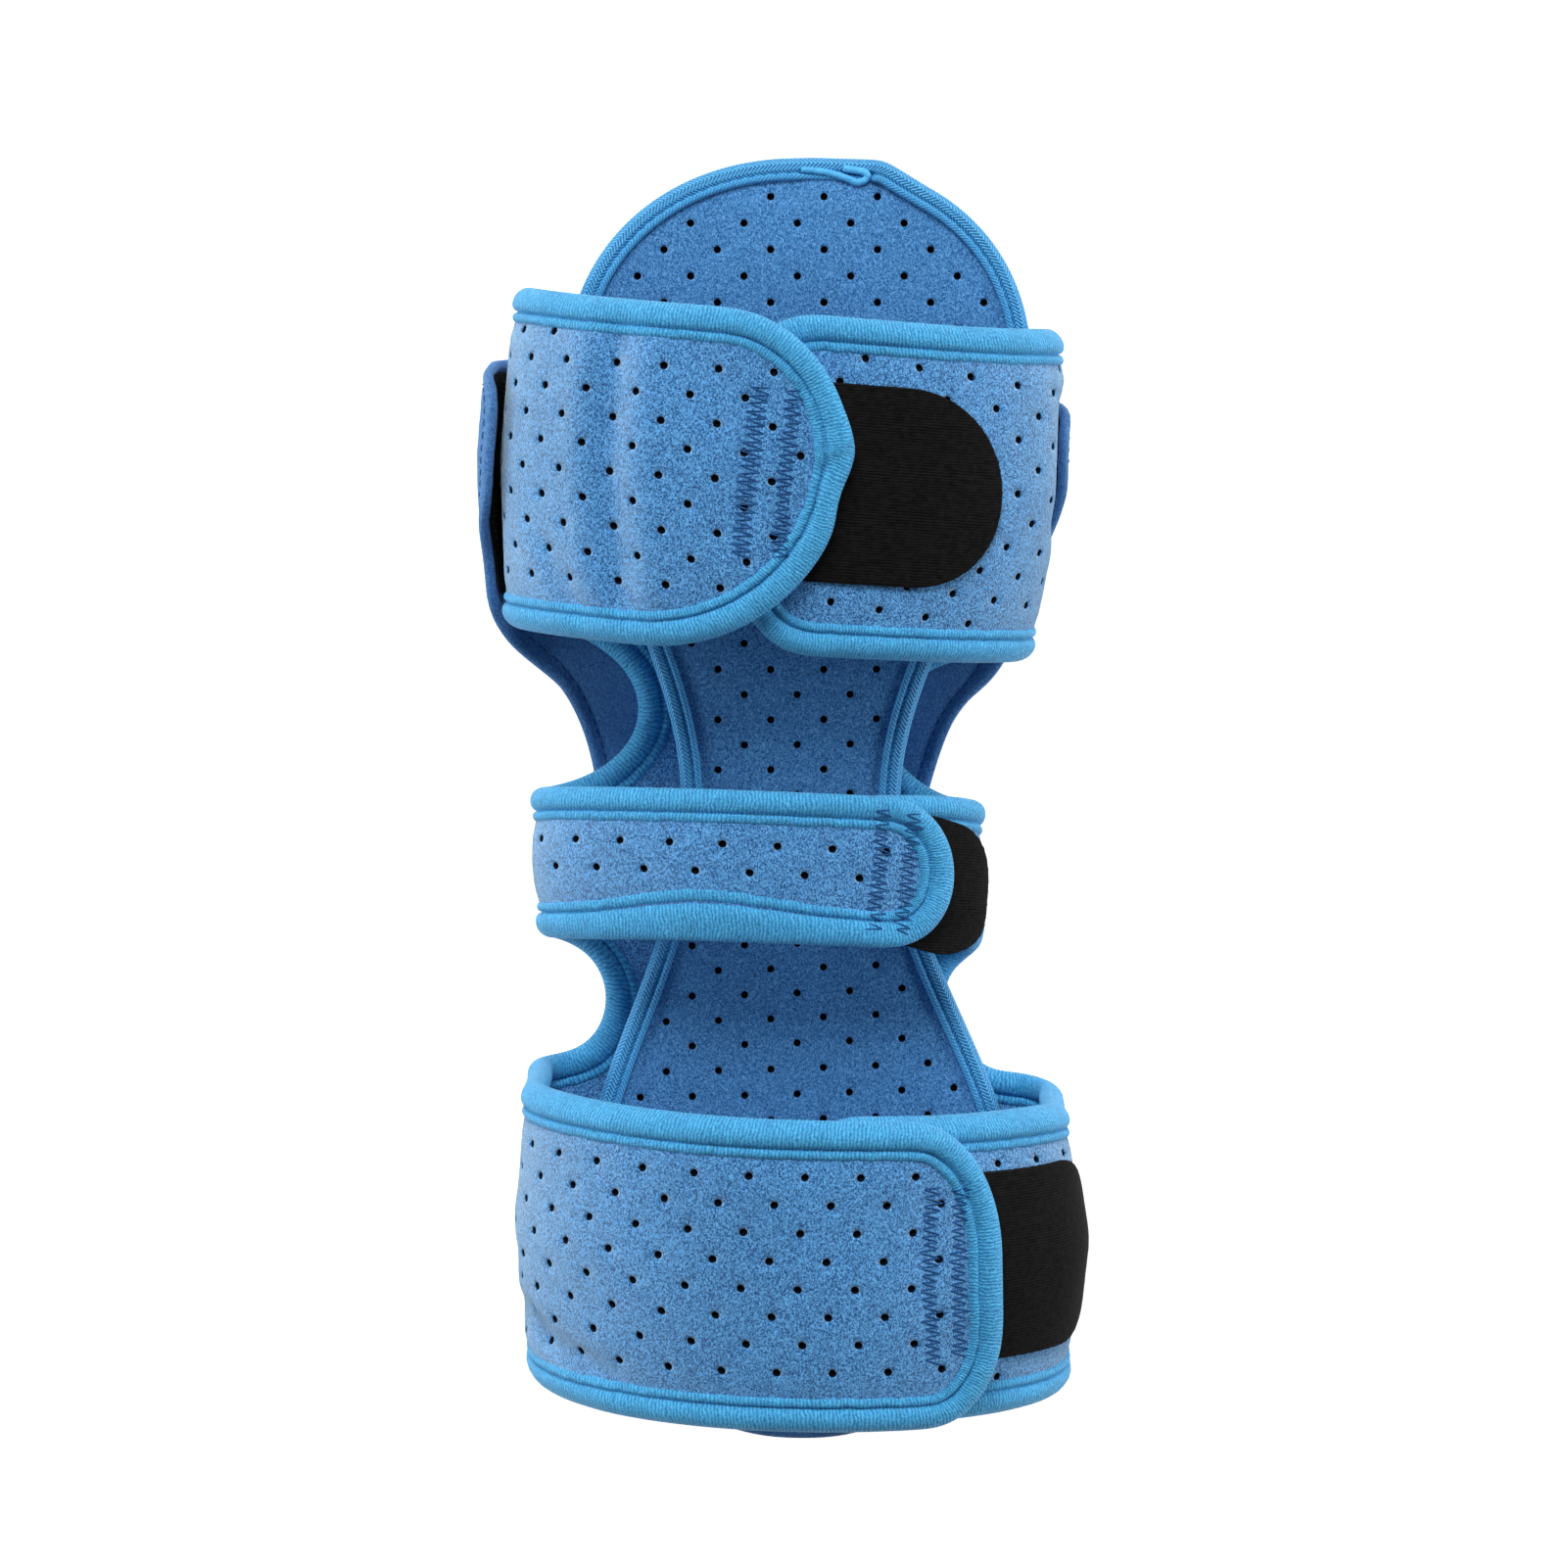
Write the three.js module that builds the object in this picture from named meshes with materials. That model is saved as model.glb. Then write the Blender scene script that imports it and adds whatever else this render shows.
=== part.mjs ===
// Padded night splint lying on its back: an hourglass board in a three-strap wrap, with a cover behind it.
// Millimetres. X runs across the splint, Y along it to the rounded upper end, Z up from the floor.
import * as THREE from 'three';

// Layers of cloth, counted from the floor
const GAP = 0.3;
const COVER_THICKNESS = 2.4;
const WRAP_THICKNESS = 4;
const BINDING_THICKNESS = 1;
const TAB_THICKNESS = 1.1;
const HOOK_STRIP_THICKNESS = 1.2;
const WRAP_HALF = WRAP_THICKNESS / 2;
const BINDING_HALF = WRAP_HALF + GAP + BINDING_THICKNESS;
const WRAP_LEVEL = COVER_THICKNESS + GAP + BINDING_HALF;

// Turn from the flat back of the wrap up into a strap, and the samples along a section's outline
const TURN_RADIUS = 8.5;
const TURN_STEPS = 12;
const CROWN_STEPS = 48;

// Cross-sections of the wrap, upper end first: a rounded D whose top is half an ellipse.
// centre and halfWidth lie along X, sideHeight is where the sides are widest, height is the top.
// skew turns a strap about Z and lean tips its front along Y, both as Y for each millimetre.
const SECTIONS = [
  { y: 125, centre: 1.5, halfWidth: 67.4, sideHeight: 23, height: 59.5, skew: -0.083, lean: 0 },
  { y: 81.5, centre: -0.3, halfWidth: 71.2, sideHeight: 23, height: 60.5, skew: -0.075, lean: 0 },
  { y: 38, centre: -4.6, halfWidth: 66, sideHeight: 23, height: 59.5, skew: -0.067, lean: 0 },
  { y: -7, centre: -6.4, halfWidth: 56, sideHeight: 23, height: 50, skew: -0.055, lean: 0.2 },
  { y: -46.2, centre: -6.3, halfWidth: 56, sideHeight: 23, height: 50, skew: -0.055, lean: 0.2 },
  { y: -76.5, centre: 3.5, halfWidth: 67.1, sideHeight: 46, height: 89, skew: -0.015, lean: 0 },
  { y: -114.35, centre: 4.5, halfWidth: 71.3, sideHeight: 46, height: 90, skew: -0.015, lean: 0 },
  { y: -152.2, centre: 4.8, halfWidth: 67.6, sideHeight: 46, height: 88.5, skew: -0.015, lean: 0 },
];

// The three straps, upper end first. upper and lower are their finished edges at the back,
// leftReach and rightReach the X where each wing ends on the front, endRadius the ends' corners
// and lap how far the left wing stands out from the right one under it.
const STRAPS = [
  { name: 'top', upper: 125, lower: 38, leftReach: 16, rightReach: -12.5, endRadius: 22, lap: 7.3 },
  { name: 'middle', upper: -7, lower: -46.2, leftReach: 39.5, rightReach: 6, endRadius: 19.5, lap: 8.6 },
  { name: 'bottom', upper: -76.5, lower: -152.2, leftReach: 51.5, rightReach: -2, endRadius: 23, lap: 7.3 },
];

// Cut-outs between the straps, measured along the cloth from its middle line
const CUTOUT_MOUTH = 66;
const CUTOUT_DEPTHS = [33.4, 45.8];
const CUTOUT_STEPS = 8;

// Columns of the wrap's mesh, along the cloth from its middle line
const BACK_COLUMNS = [28, 48, 54, 60, CUTOUT_MOUTH];
const WING_START = 88;
const TURN_COLUMNS = [72, 79, WING_START];
const FRONT_STEP = 15;
const END_STEPS = 3;
const LAP_CLEARANCE = 8;

// Edge binding of the wrap: how far it stands outside the panel and how far its legs reach in
const BINDING_FOLD = 1.6;
const BINDING_REACH = 9;

// Half height of a folded tape at its very edge, as a share of its half thickness
const TAPE_NOSE = 0.45;

// Hook tabs: start and tip are X on the front, a tip past the side being at the widest place of the side,
// upper and lower are Y at the back of that strap, lift is what they pass over
const TABS = [
  { strap: 'top', start: 3, tip: 54.3, upper: 108.3, lower: 57.5, endRadius: 25, lift: WRAP_HALF },
  { strap: 'middle', start: 21, tip: 49.2, upper: -10, lower: -44, endRadius: 12, lift: BINDING_HALF },
  { strap: 'bottom', start: 24, tip: 80, upper: -90.5, lower: -139.5, endRadius: 18, lift: WRAP_HALF },
];
const TAB_STEP = 5.5;
const TAB_END_STEPS = 6;
const TAB_GAP = 0.5;

// Padded board: two lobes and a waist, with a crown, over the wrap's flat back
const BOARD = {
  top: 165.3,
  topLobe: { y: 109, halfWidth: 61.5, centre: 3.9 },
  waist: { y: -5, halfWidth: 29.3, centre: 1.8 },
  bottomLobe: { y: -119, halfWidth: 59.5, centre: 4.3 },
  bottom: -166,
  roundness: 2.2,
  rimThickness: 5.6,
  rimLift: 1.8,
  frontSwell: 3,
  backSwell: 2.6,
};
const BOARD_ROWS = 30;
const BOARD_END_ROWS = 9;
const BOARD_COLUMNS = [-1, -0.86, -0.55, 0, 0.55, 0.86, 1];
const BOARD_TAPE = { thickness: 0.9, fold: 1.2, reach: 4.3 };

// Back cover: its side wings, and half its width along the cloth above and below them
const COVER_WING = { upper: 107, lower: 48.6, rightRise: 12, reach: 96.5, endRadius: 12 };
const COVER_MOUTH = { above: 60, below: 72 };
const COVER_ABOVE = [
  { y: 112, reach: 58 },
  { y: 119, reach: 55 },
  { y: 127, reach: 51 },
  { y: 135, reach: 44.5 },
  { y: 142, reach: 36 },
  { y: 147, reach: 25 },
  { y: 150, reach: 9 },
];
const COVER_BELOW = [
  { y: 44, reach: 68.5 },
  { y: 38, reach: 63.5 },
  { y: 32, reach: 59.3 },
  { y: 27, reach: 54 },
  { y: 22, reach: 51.2 },
  { y: 10, reach: 46 },
  { y: 0, reach: 43.5 },
  { y: -22, reach: 40 },
  { y: -59, reach: 40 },
  { y: -95, reach: 46 },
  { y: -130, reach: 49 },
  { y: -160, reach: 43 },
  { y: -172, reach: 33 },
  { y: -178, reach: 19 },
  { y: -180.4, reach: 6 },
];
const COVER_COLUMNS = [28, 48, 54, COVER_MOUTH.above, 66, COVER_MOUTH.below];
const COVER_WING_COLUMNS = [79, 85];
const COVER_STAND_OFF = { from: 48, to: 66, size: 1.4 };
const COVER_FLARE = { from: 72, to: 96, left: 3.6, right: -0.5 };

// Hook strips inside the cover's side wings, between the wings' rounded corners
const HOOK_STRIP = { inner: 79, outer: 92, inset: 6 };

const CLOTHS = {
  strapVelour: { color: 0x4a86c4, roughness: 0.95 },
  boardVelour: { color: 0x3f7fc0, roughness: 0.95 },
  rib: { color: 0x4aa8de, roughness: 0.9 },
  tape: { color: 0x2f7fbc, roughness: 0.8 },
  coverVelour: { color: 0x23478c, roughness: 0.95 },
  hook: { color: 0x161616, roughness: 0.85 },
};

const lerp = THREE.MathUtils.lerp;
const smoothstep = THREE.MathUtils.smoothstep;

// A row between the two table rows that enclose y, with every column blended
function rowAt(rows, y) {
  const last = rows.length - 1;
  const clamped = THREE.MathUtils.clamp(y, rows[last].y, rows[0].y);
  const next = Math.max(1, rows.findIndex((row) => row.y <= clamped));
  const above = rows[next - 1];
  const below = rows[next];
  const share = (above.y - clamped) / (above.y - below.y);
  const blended = {};
  for (const column of Object.keys(above)) {
    blended[column] = lerp(above[column], below[column], share);
  }
  return blended;
}

// Half of a section's outline from the middle of the back, round the side and over the front:
// points with their outward normals and the length of cloth up to them
function sectionOutline(section) {
  const turnX = section.halfWidth - TURN_RADIUS;
  const turnZ = WRAP_LEVEL + TURN_RADIUS;
  const rise = section.height - section.sideHeight;
  const points = [{ x: 0, z: WRAP_LEVEL, nx: 0, nz: -1 }];
  for (let i = 0; i <= TURN_STEPS; i += 1) {
    const angle = (Math.PI / 2) * (i / TURN_STEPS);
    const nx = Math.sin(angle);
    const nz = -Math.cos(angle);
    points.push({ x: turnX + TURN_RADIUS * nx, z: turnZ + TURN_RADIUS * nz, nx, nz });
  }
  for (let i = 0; i < CROWN_STEPS; i += 1) {
    const angle = Math.PI * (i / CROWN_STEPS);
    const normal = new THREE.Vector2(Math.cos(angle) * rise, Math.sin(angle) * section.halfWidth).normalize();
    const x = section.halfWidth * Math.cos(angle);
    const z = section.sideHeight + rise * Math.sin(angle);
    points.push({ x, z, nx: normal.x, nz: normal.y });
  }
  let length = 0;
  points.forEach((point, i) => {
    const before = points[Math.max(0, i - 1)];
    length += Math.hypot(point.x - before.x, point.z - before.z);
    point.length = length;
  });
  return points;
}

// The point of an outline at a given length of cloth
function alongOutline(points, length) {
  const found = points.findIndex((point) => point.length >= length);
  const next = found < 0 ? points.length - 1 : Math.max(1, found);
  const before = points[next - 1];
  const after = points[next];
  const share = (length - before.length) / (after.length - before.length);
  const nx = lerp(before.nx, after.nx, share);
  const nz = lerp(before.nz, after.nz, share);
  const size = Math.hypot(nx, nz);
  return {
    x: lerp(before.x, after.x, share),
    z: lerp(before.z, after.z, share),
    nx: nx / size,
    nz: nz / size,
  };
}

// Length of cloth from the middle line to the place on a strap's front with the given X
function lengthAtFront(y, x, side) {
  const section = rowAt(SECTIONS, y);
  const target = side * (x - section.centre);
  const front = sectionOutline(section).filter((point) => point.z >= section.sideHeight);
  const next = front.findIndex((point) => point.x <= target);
  const before = front[Math.max(0, next - 1)];
  const after = front[next];
  const share = after === before ? 0 : (before.x - target) / (before.x - after.x);
  return lerp(before.length, after.length, share);
}

const outlines = new Map();

function outlineAt(y) {
  const key = y.toFixed(3);
  if (!outlines.has(key)) {
    const section = rowAt(SECTIONS, y);
    outlines.set(key, { section, points: sectionOutline(section) });
  }
  return outlines.get(key);
}

// A place on the loop: across is the length of cloth from the middle line, right positive,
// y its row and offset its distance outside the middle of the cloth
function onLoop(across, y, offset) {
  const { section, points } = outlineAt(y);
  const side = across < 0 ? -1 : 1;
  const place = alongOutline(points, Math.abs(across));
  const x = side * (place.x + place.nx * offset);
  const z = place.z + place.nz * offset;
  return new THREE.Vector3(
    section.centre + x,
    y + section.skew * x + section.lean * (z - WRAP_LEVEL),
    z,
  );
}

// How far the left wings stand out over the right ones, growing from the side to the lapped front
function lapAt(across, y) {
  const middle = (strap) => (strap.upper + strap.lower) / 2;
  const nearest = (a, b) => (Math.abs(middle(a) - y) < Math.abs(middle(b) - y) ? a : b);
  const strap = STRAPS.reduce(nearest);
  if (across >= 0) {
    return 0;
  }
  const { section, points } = outlineAt(y);
  const side = points.find((point) => point.z >= section.sideHeight).length;
  const full = lengthAtFront(middle(strap), strap.rightReach - LAP_CLEARANCE, -1);
  return strap.lap * smoothstep(-across, side, full);
}

const onWrap = (across, y, offset) => onLoop(across, y, offset + lapAt(across, y));

// Closed solid between two faces of a sheet, with walls along its rim
function thicken(sheet, place, low, high) {
  const positions = [];
  for (const offset of [high, low]) {
    for (const [across, y] of sheet.nodes) {
      positions.push(...place(across, y, offset).toArray());
    }
  }
  const count = sheet.nodes.length;
  const index = [];
  for (const [a, b, c] of sheet.faces) {
    index.push(a, b, c, count + a, count + c, count + b);
  }
  for (const [a, b] of rimEdges(sheet.faces)) {
    index.push(a, count + a, count + b, a, count + b, b);
  }
  return solid(positions, index);
}

function solid(positions, index) {
  const geometry = new THREE.BufferGeometry();
  geometry.setAttribute('position', new THREE.Float32BufferAttribute(positions, 3));
  geometry.setIndex(index);
  geometry.computeVertexNormals();
  return geometry;
}

// Edges that belong to one face only, in the direction of that face
function rimEdges(faces) {
  const edges = new Map();
  for (const face of faces) {
    face.forEach((from, i) => {
      const to = face[(i + 1) % face.length];
      edges.set(`${from},${to}`, [from, to]);
    });
  }
  return [...edges.values()].filter(([from, to]) => !edges.has(`${to},${from}`));
}

// The rim of a sheet as one closed run of node numbers
function rimLoop(faces) {
  const following = new Map(rimEdges(faces));
  const first = following.keys().next().value;
  const loop = [first];
  for (let node = following.get(first); node !== first; node = following.get(node)) {
    loop.push(node);
  }
  return loop;
}

// Sheet whose nodes are shared by their rounded places, filled by quads
function newSheet() {
  const sheet = { nodes: [], faces: [] };
  const known = new Map();
  const node = (across, y) => {
    const key = `${across.toFixed(3)},${y.toFixed(3)}`;
    if (!known.has(key)) {
      known.set(key, sheet.nodes.length);
      sheet.nodes.push([across, y]);
    }
    return known.get(key);
  };
  // Corners run round the quad with the outer face of the cloth on their left
  sheet.quad = (...corners) => {
    const [a, b, c, d] = corners.map(([across, y]) => node(across, y));
    const faces = [[a, b, c], [a, c, d]];
    sheet.faces.push(...faces.filter(([p, q, r]) => p !== q && q !== r && r !== p));
  };
  return sheet;
}

// Grid of quads between rows that run down and columns that run to the right
function fillGrid(sheet, rows) {
  for (let j = 1; j < rows.length; j += 1) {
    const above = rows[j - 1];
    const below = rows[j];
    for (let i = 1; i < above.length; i += 1) {
      sheet.quad(above[i - 1], above[i], below[i], below[i - 1]);
    }
  }
}

// How much a strap's half height shrinks near its end, for round corners
function cornerLoss(distance, radius) {
  if (distance >= radius) {
    return 0;
  }
  const across = radius - Math.max(0, distance);
  return radius - Math.sqrt(Math.max(0, radius * radius - across * across));
}

// Columns of one wing beyond the cut-outs' mouth, up to its finished end
function wingColumns(end, radius) {
  const columns = [...TURN_COLUMNS];
  const straightEnd = end - radius;
  const steps = Math.round((straightEnd - WING_START) / FRONT_STEP);
  for (let i = 1; i <= steps; i += 1) {
    columns.push(lerp(WING_START, straightEnd, i / steps));
  }
  for (let i = 1; i <= END_STEPS; i += 1) {
    columns.push(straightEnd + radius * Math.sin((Math.PI / 2) * (i / END_STEPS)));
  }
  return columns;
}

// The wrap's flat pattern, drawn in from its finished edge by the given fold:
// three straps joined by the back between the cut-outs. Each wing is cut so that its end is straight in X.
function wrapPattern(fold) {
  const sheet = newSheet();
  const back = [...BACK_COLUMNS].reverse().map((across) => -across).concat(0, BACK_COLUMNS);
  for (const strap of STRAPS) {
    const upper = strap.upper - fold;
    const lower = strap.lower + fold;
    const middle = (upper + lower) / 2;
    const half = (upper - lower) / 2;
    const radius = Math.min(strap.endRadius - fold, half - GAP);
    const endAt = (y, side) => (
      lengthAtFront(y, side < 0 ? strap.leftReach : strap.rightReach, side) - fold
    );
    const left = wingColumns(endAt(middle, -1), radius).reverse().map((across) => -across);
    const columns = [...left, ...back, ...wingColumns(endAt(middle, 1), radius)];
    const rows = [1, 0, -1].map((share) => columns.map((column) => {
      const side = Math.sign(column);
      const end = endAt(middle, side);
      const y = middle + share * (half - cornerLoss(end - Math.abs(column), radius));
      const beyond = Math.max(0, Math.abs(column) - WING_START);
      const stretch = (endAt(y, side) - WING_START) / (end - WING_START);
      return [column + side * beyond * (stretch - 1), y];
    }));
    fillGrid(sheet, rows);
  }
  CUTOUT_DEPTHS.forEach((depth, i) => {
    const upper = STRAPS[i].lower + fold;
    const lower = STRAPS[i + 1].upper - fold;
    const rows = [];
    for (let step = 0; step <= CUTOUT_STEPS; step += 1) {
      const angle = Math.PI * (step / CUTOUT_STEPS);
      const y = lerp(upper, lower, (1 - Math.cos(angle)) / 2);
      const reach = lerp(CUTOUT_MOUTH, depth - fold, Math.sin(angle));
      rows.push(back.map((across) => [across * (reach / CUTOUT_MOUTH), y]));
    }
    fillGrid(sheet, rows);
  });
  return sheet;
}

// Tape along a closed run of places: every station is a ring of points round the edge.
// Its quads are split as those of the border are, also where the section runs outward.
function sweepTape(rings, section) {
  const sides = section.length;
  const positions = rings.flat().flatMap((point) => point.toArray());
  const index = [];
  rings.forEach((ring, i) => {
    const here = i * sides;
    const there = ((i + 1) % rings.length) * sides;
    section.forEach(([distance], k) => {
      const next = (k + 1) % sides;
      if (section[next][0] < distance) {
        index.push(here + k, there + k, here + next, there + k, there + next, here + next);
      } else {
        index.push(here + k, there + k, there + next, here + k, there + next, here + next);
      }
    });
  });
  return solid(positions, index);
}

// Section of a folded tape: inward distance from the cloth's edge and height over its middle
function tapeSection(clothHalf, thickness, fold, reach) {
  const inner = clothHalf + GAP;
  const outer = inner + thickness;
  const nose = TAPE_NOSE * outer;
  return [
    [reach, inner],
    [-GAP, inner],
    [-GAP, -inner],
    [reach, -inner],
    [reach, -outer],
    [0, -outer],
    [-fold, -nose],
    [-fold, nose],
    [0, outer],
    [reach, outer],
  ];
}

// Widen a sheet by a border of quads, one for each step of its rim, as wide as the tape's legs.
// Returns the border's stations: an inner place and the inward direction from the new rim.
function addBorder(sheet, width) {
  const loop = rimLoop(sheet.faces).map((node) => sheet.nodes[node]);
  const stations = loop.map((inner, i) => {
    const inward = inwardAt(loop, i);
    const rim = [inner[0] - inward[0] * width, inner[1] - inward[1] * width];
    return { inner, inward, rim };
  });
  stations.forEach((station, i) => {
    const next = stations[(i + 1) % stations.length];
    sheet.quad(station.rim, next.rim, next.inner, station.inner);
  });
  return stations;
}

function foldedTape(stations, place, section) {
  const rings = stations.map(({ rim, inward }) => section.map(([distance, height]) => (
    place(rim[0] + inward[0] * distance, rim[1] + inward[1] * distance, height)
  )));
  return sweepTape(rings, section);
}

// Inward direction at every place of a closed run that keeps the cloth on its right
function inwardAt(loop, i) {
  const before = loop[(i + loop.length - 1) % loop.length];
  const after = loop[(i + 1) % loop.length];
  const along = new THREE.Vector2(after[0] - before[0], after[1] - before[1]).normalize();
  return [along.y, -along.x];
}

// Board outline: centre and half width at each Y
function boardAt(y) {
  const { topLobe, waist, bottomLobe, roundness } = BOARD;
  const upper = y > waist.y;
  const lobe = upper ? topLobe : bottomLobe;
  const end = upper ? BOARD.top : BOARD.bottom;
  const toLobe = THREE.MathUtils.clamp((y - waist.y) / (lobe.y - waist.y), 0, 1);
  const ease = (1 - Math.cos(Math.PI * toLobe)) / 2;
  const toEnd = THREE.MathUtils.clamp((y - lobe.y) / (end - lobe.y), 0, 1);
  const round = (1 - toEnd ** roundness) ** (1 / roundness);
  return {
    centre: lerp(waist.centre, lobe.centre, ease),
    half: lerp(waist.halfWidth, lobe.halfWidth, ease) * round,
  };
}

// Rows of the board from its upper end to its lower one, closer together round the ends
function boardRows() {
  const { topLobe, bottomLobe } = BOARD;
  const rows = [];
  for (let i = 0; i < BOARD_END_ROWS; i += 1) {
    rows.push(lerp(topLobe.y, BOARD.top, Math.cos((Math.PI / 2) * (i / BOARD_END_ROWS))));
  }
  const between = BOARD_ROWS - 2 * BOARD_END_ROWS;
  for (let i = 0; i <= between; i += 1) {
    rows.push(lerp(topLobe.y, bottomLobe.y, i / between));
  }
  for (let i = 1; i <= BOARD_END_ROWS; i += 1) {
    rows.push(lerp(bottomLobe.y, BOARD.bottom, Math.sin((Math.PI / 2) * (i / BOARD_END_ROWS))));
  }
  return rows;
}

const BOARD_HALF = BOARD.rimThickness / 2;
const BOARD_TAPE_HALF = BOARD_HALF + GAP + BOARD_TAPE.thickness;
const BOARD_LEVEL = WRAP_LEVEL + BINDING_HALF + BOARD.rimLift + BOARD_TAPE_HALF;

// The board's outline drawn in from its finished edge by the given fold
function boardPattern(fold) {
  const sheet = newSheet();
  const middle = (BOARD.top + BOARD.bottom) / 2;
  const shorter = 1 - (2 * fold) / (BOARD.top - BOARD.bottom);
  const rows = boardRows().map((y) => {
    const { centre, half } = boardAt(y);
    const drawnIn = Math.max(0, half - fold);
    return BOARD_COLUMNS.map((share) => [centre + share * drawnIn, middle + (y - middle) * shorter]);
  });
  fillGrid(sheet, rows);
  return sheet;
}

// A place on the board, its offset counted away from the limb as on the loop.
// The faces swell away from the rim, the back by as much as the wrap leaves room for.
function onBoard(x, y, offset) {
  const { centre, half } = boardAt(y);
  const share = half > 0 ? Math.min(1, Math.abs(x - centre) / half) : 1;
  const fromEnd = Math.min(BOARD.top - y, y - BOARD.bottom) / BOARD.topLobe.halfWidth;
  const ends = Math.min(1, Math.max(0, fromEnd));
  const swell = (1 - share ** 2) * (1 - (1 - ends) ** 2);
  const room = offset < 0 ? BOARD.frontSwell : BOARD.backSwell;
  return new THREE.Vector3(x, y, BOARD_LEVEL - offset - Math.sign(offset) * room * swell);
}

// The cover lies outside the wrap, and its side wings stand away from the top strap
const COVER_OFFSET = BINDING_HALF + GAP + COVER_THICKNESS / 2;

function flareAt(across) {
  const reach = Math.abs(across);
  const wing = across < 0 ? COVER_FLARE.left : COVER_FLARE.right;
  const standOff = COVER_STAND_OFF.size * smoothstep(reach, COVER_STAND_OFF.from, COVER_STAND_OFF.to);
  return standOff + wing * smoothstep(reach, COVER_FLARE.from, COVER_FLARE.to);
}

function onCover(across, y, offset) {
  const point = onLoop(across, y, COVER_OFFSET + offset);
  point.x += Math.sign(across) * flareAt(across);
  return point;
}

// Columns on both sides of the middle line, left first
const mirrored = (columns) => [...columns.map((across) => -across).reverse(), 0, ...columns];

// The lower edge of the band with the cover's wings, higher at the right wing
function coverWingLower(across) {
  const { lower, rightRise } = COVER_WING;
  return lower + rightRise * smoothstep(across, COVER_MOUTH.above, COVER_WING_COLUMNS[0]);
}

// Rows of a band across the cover's wings, with round corners at their ends
function coverWingRows(columns) {
  const { upper, reach, endRadius } = COVER_WING;
  return [1, 0, -1].map((share) => columns.map((across) => {
    const lower = coverWingLower(across);
    const half = (upper - lower) / 2;
    return [across, lower + half + share * (half - cornerLoss(reach - Math.abs(across), endRadius))];
  }));
}

function coverPattern() {
  const { upper, reach, endRadius } = COVER_WING;
  const ends = [];
  for (let i = 1; i <= END_STEPS; i += 1) {
    ends.push(reach - endRadius * (1 - Math.sin((Math.PI / 2) * (i / END_STEPS))));
  }
  const scaled = (rows, mouth) => {
    const columns = mirrored(COVER_COLUMNS.filter((across) => across <= mouth));
    return rows.map((row) => columns.map((across) => [across * (row.reach / mouth), row.y]));
  };
  const above = [...COVER_ABOVE].reverse().concat({ y: upper, reach: COVER_MOUTH.above });
  const seam = mirrored(COVER_COLUMNS).map((across) => [across, coverWingLower(across)]);
  const sheet = newSheet();
  fillGrid(sheet, coverWingRows(mirrored([...COVER_COLUMNS, ...COVER_WING_COLUMNS, ...ends])));
  fillGrid(sheet, scaled(above, COVER_MOUTH.above));
  fillGrid(sheet, [seam, ...scaled(COVER_BELOW, COVER_MOUTH.below)]);
  return sheet;
}

function hookStripPattern(side) {
  const { inner, outer, inset } = HOOK_STRIP;
  const lower = coverWingLower(side * inner);
  const middle = (COVER_WING.upper + lower) / 2;
  const half = (COVER_WING.upper - lower) / 2 - inset;
  const columns = [inner, COVER_WING_COLUMNS[1], outer].map((across) => side * across).sort((a, b) => a - b);
  const sheet = newSheet();
  fillGrid(sheet, [1, 0, -1].map((share) => columns.map((across) => [across, middle + share * half])));
  return sheet;
}

// Flat pattern of a hook tab on the right wing: square under the strap, round at its tip
function tabPattern(tab) {
  const middle = (tab.upper + tab.lower) / 2;
  const half = (tab.upper - tab.lower) / 2;
  const fromAt = (y) => lengthAtFront(y, tab.tip, 1);
  const toAt = (y) => lengthAtFront(y, tab.start, 1);
  const length = toAt(middle) - fromAt(middle);
  const columns = [];
  for (let i = 0; i < TAB_END_STEPS; i += 1) {
    columns.push(tab.endRadius * (1 - Math.cos((Math.PI / 2) * (i / TAB_END_STEPS))));
  }
  const steps = Math.max(1, Math.round((length - tab.endRadius) / TAB_STEP));
  for (let i = 0; i <= steps; i += 1) {
    columns.push(lerp(tab.endRadius, length, i / steps));
  }
  const sheet = newSheet();
  const rows = [1, 0, -1].map((share) => columns.map((column) => {
    const y = middle + share * (half - cornerLoss(column, tab.endRadius));
    return [lerp(fromAt(y), toAt(y), column / length), y];
  }));
  fillGrid(sheet, rows);
  return sheet;
}

function tabSolid(tab) {
  const low = tab.lift + TAB_GAP;
  return thicken(tabPattern(tab), onLoop, low, low + TAB_THICKNESS);
}

function hookStripSolid(side) {
  const outside = -COVER_THICKNESS / 2 - GAP;
  return thicken(hookStripPattern(side), onCover, outside - HOOK_STRIP_THICKNESS, outside);
}

function piece(name, geometry, cloth) {
  const material = new THREE.MeshStandardMaterial({ ...CLOTHS[cloth], metalness: 0 });
  const mesh = new THREE.Mesh(geometry, material);
  mesh.name = name;
  return mesh;
}

const COVER_HALF = COVER_THICKNESS / 2;
const wrapSheet = wrapPattern(BINDING_FOLD + BINDING_REACH);
const wrapStations = addBorder(wrapSheet, BINDING_REACH);
const bindingSection = tapeSection(WRAP_HALF, BINDING_THICKNESS, BINDING_FOLD, BINDING_REACH);
const boardSheet = boardPattern(BOARD_TAPE.fold + BOARD_TAPE.reach);
const boardStations = addBorder(boardSheet, BOARD_TAPE.reach);
const boardTapeSection = tapeSection(BOARD_HALF, BOARD_TAPE.thickness, BOARD_TAPE.fold, BOARD_TAPE.reach);

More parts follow.
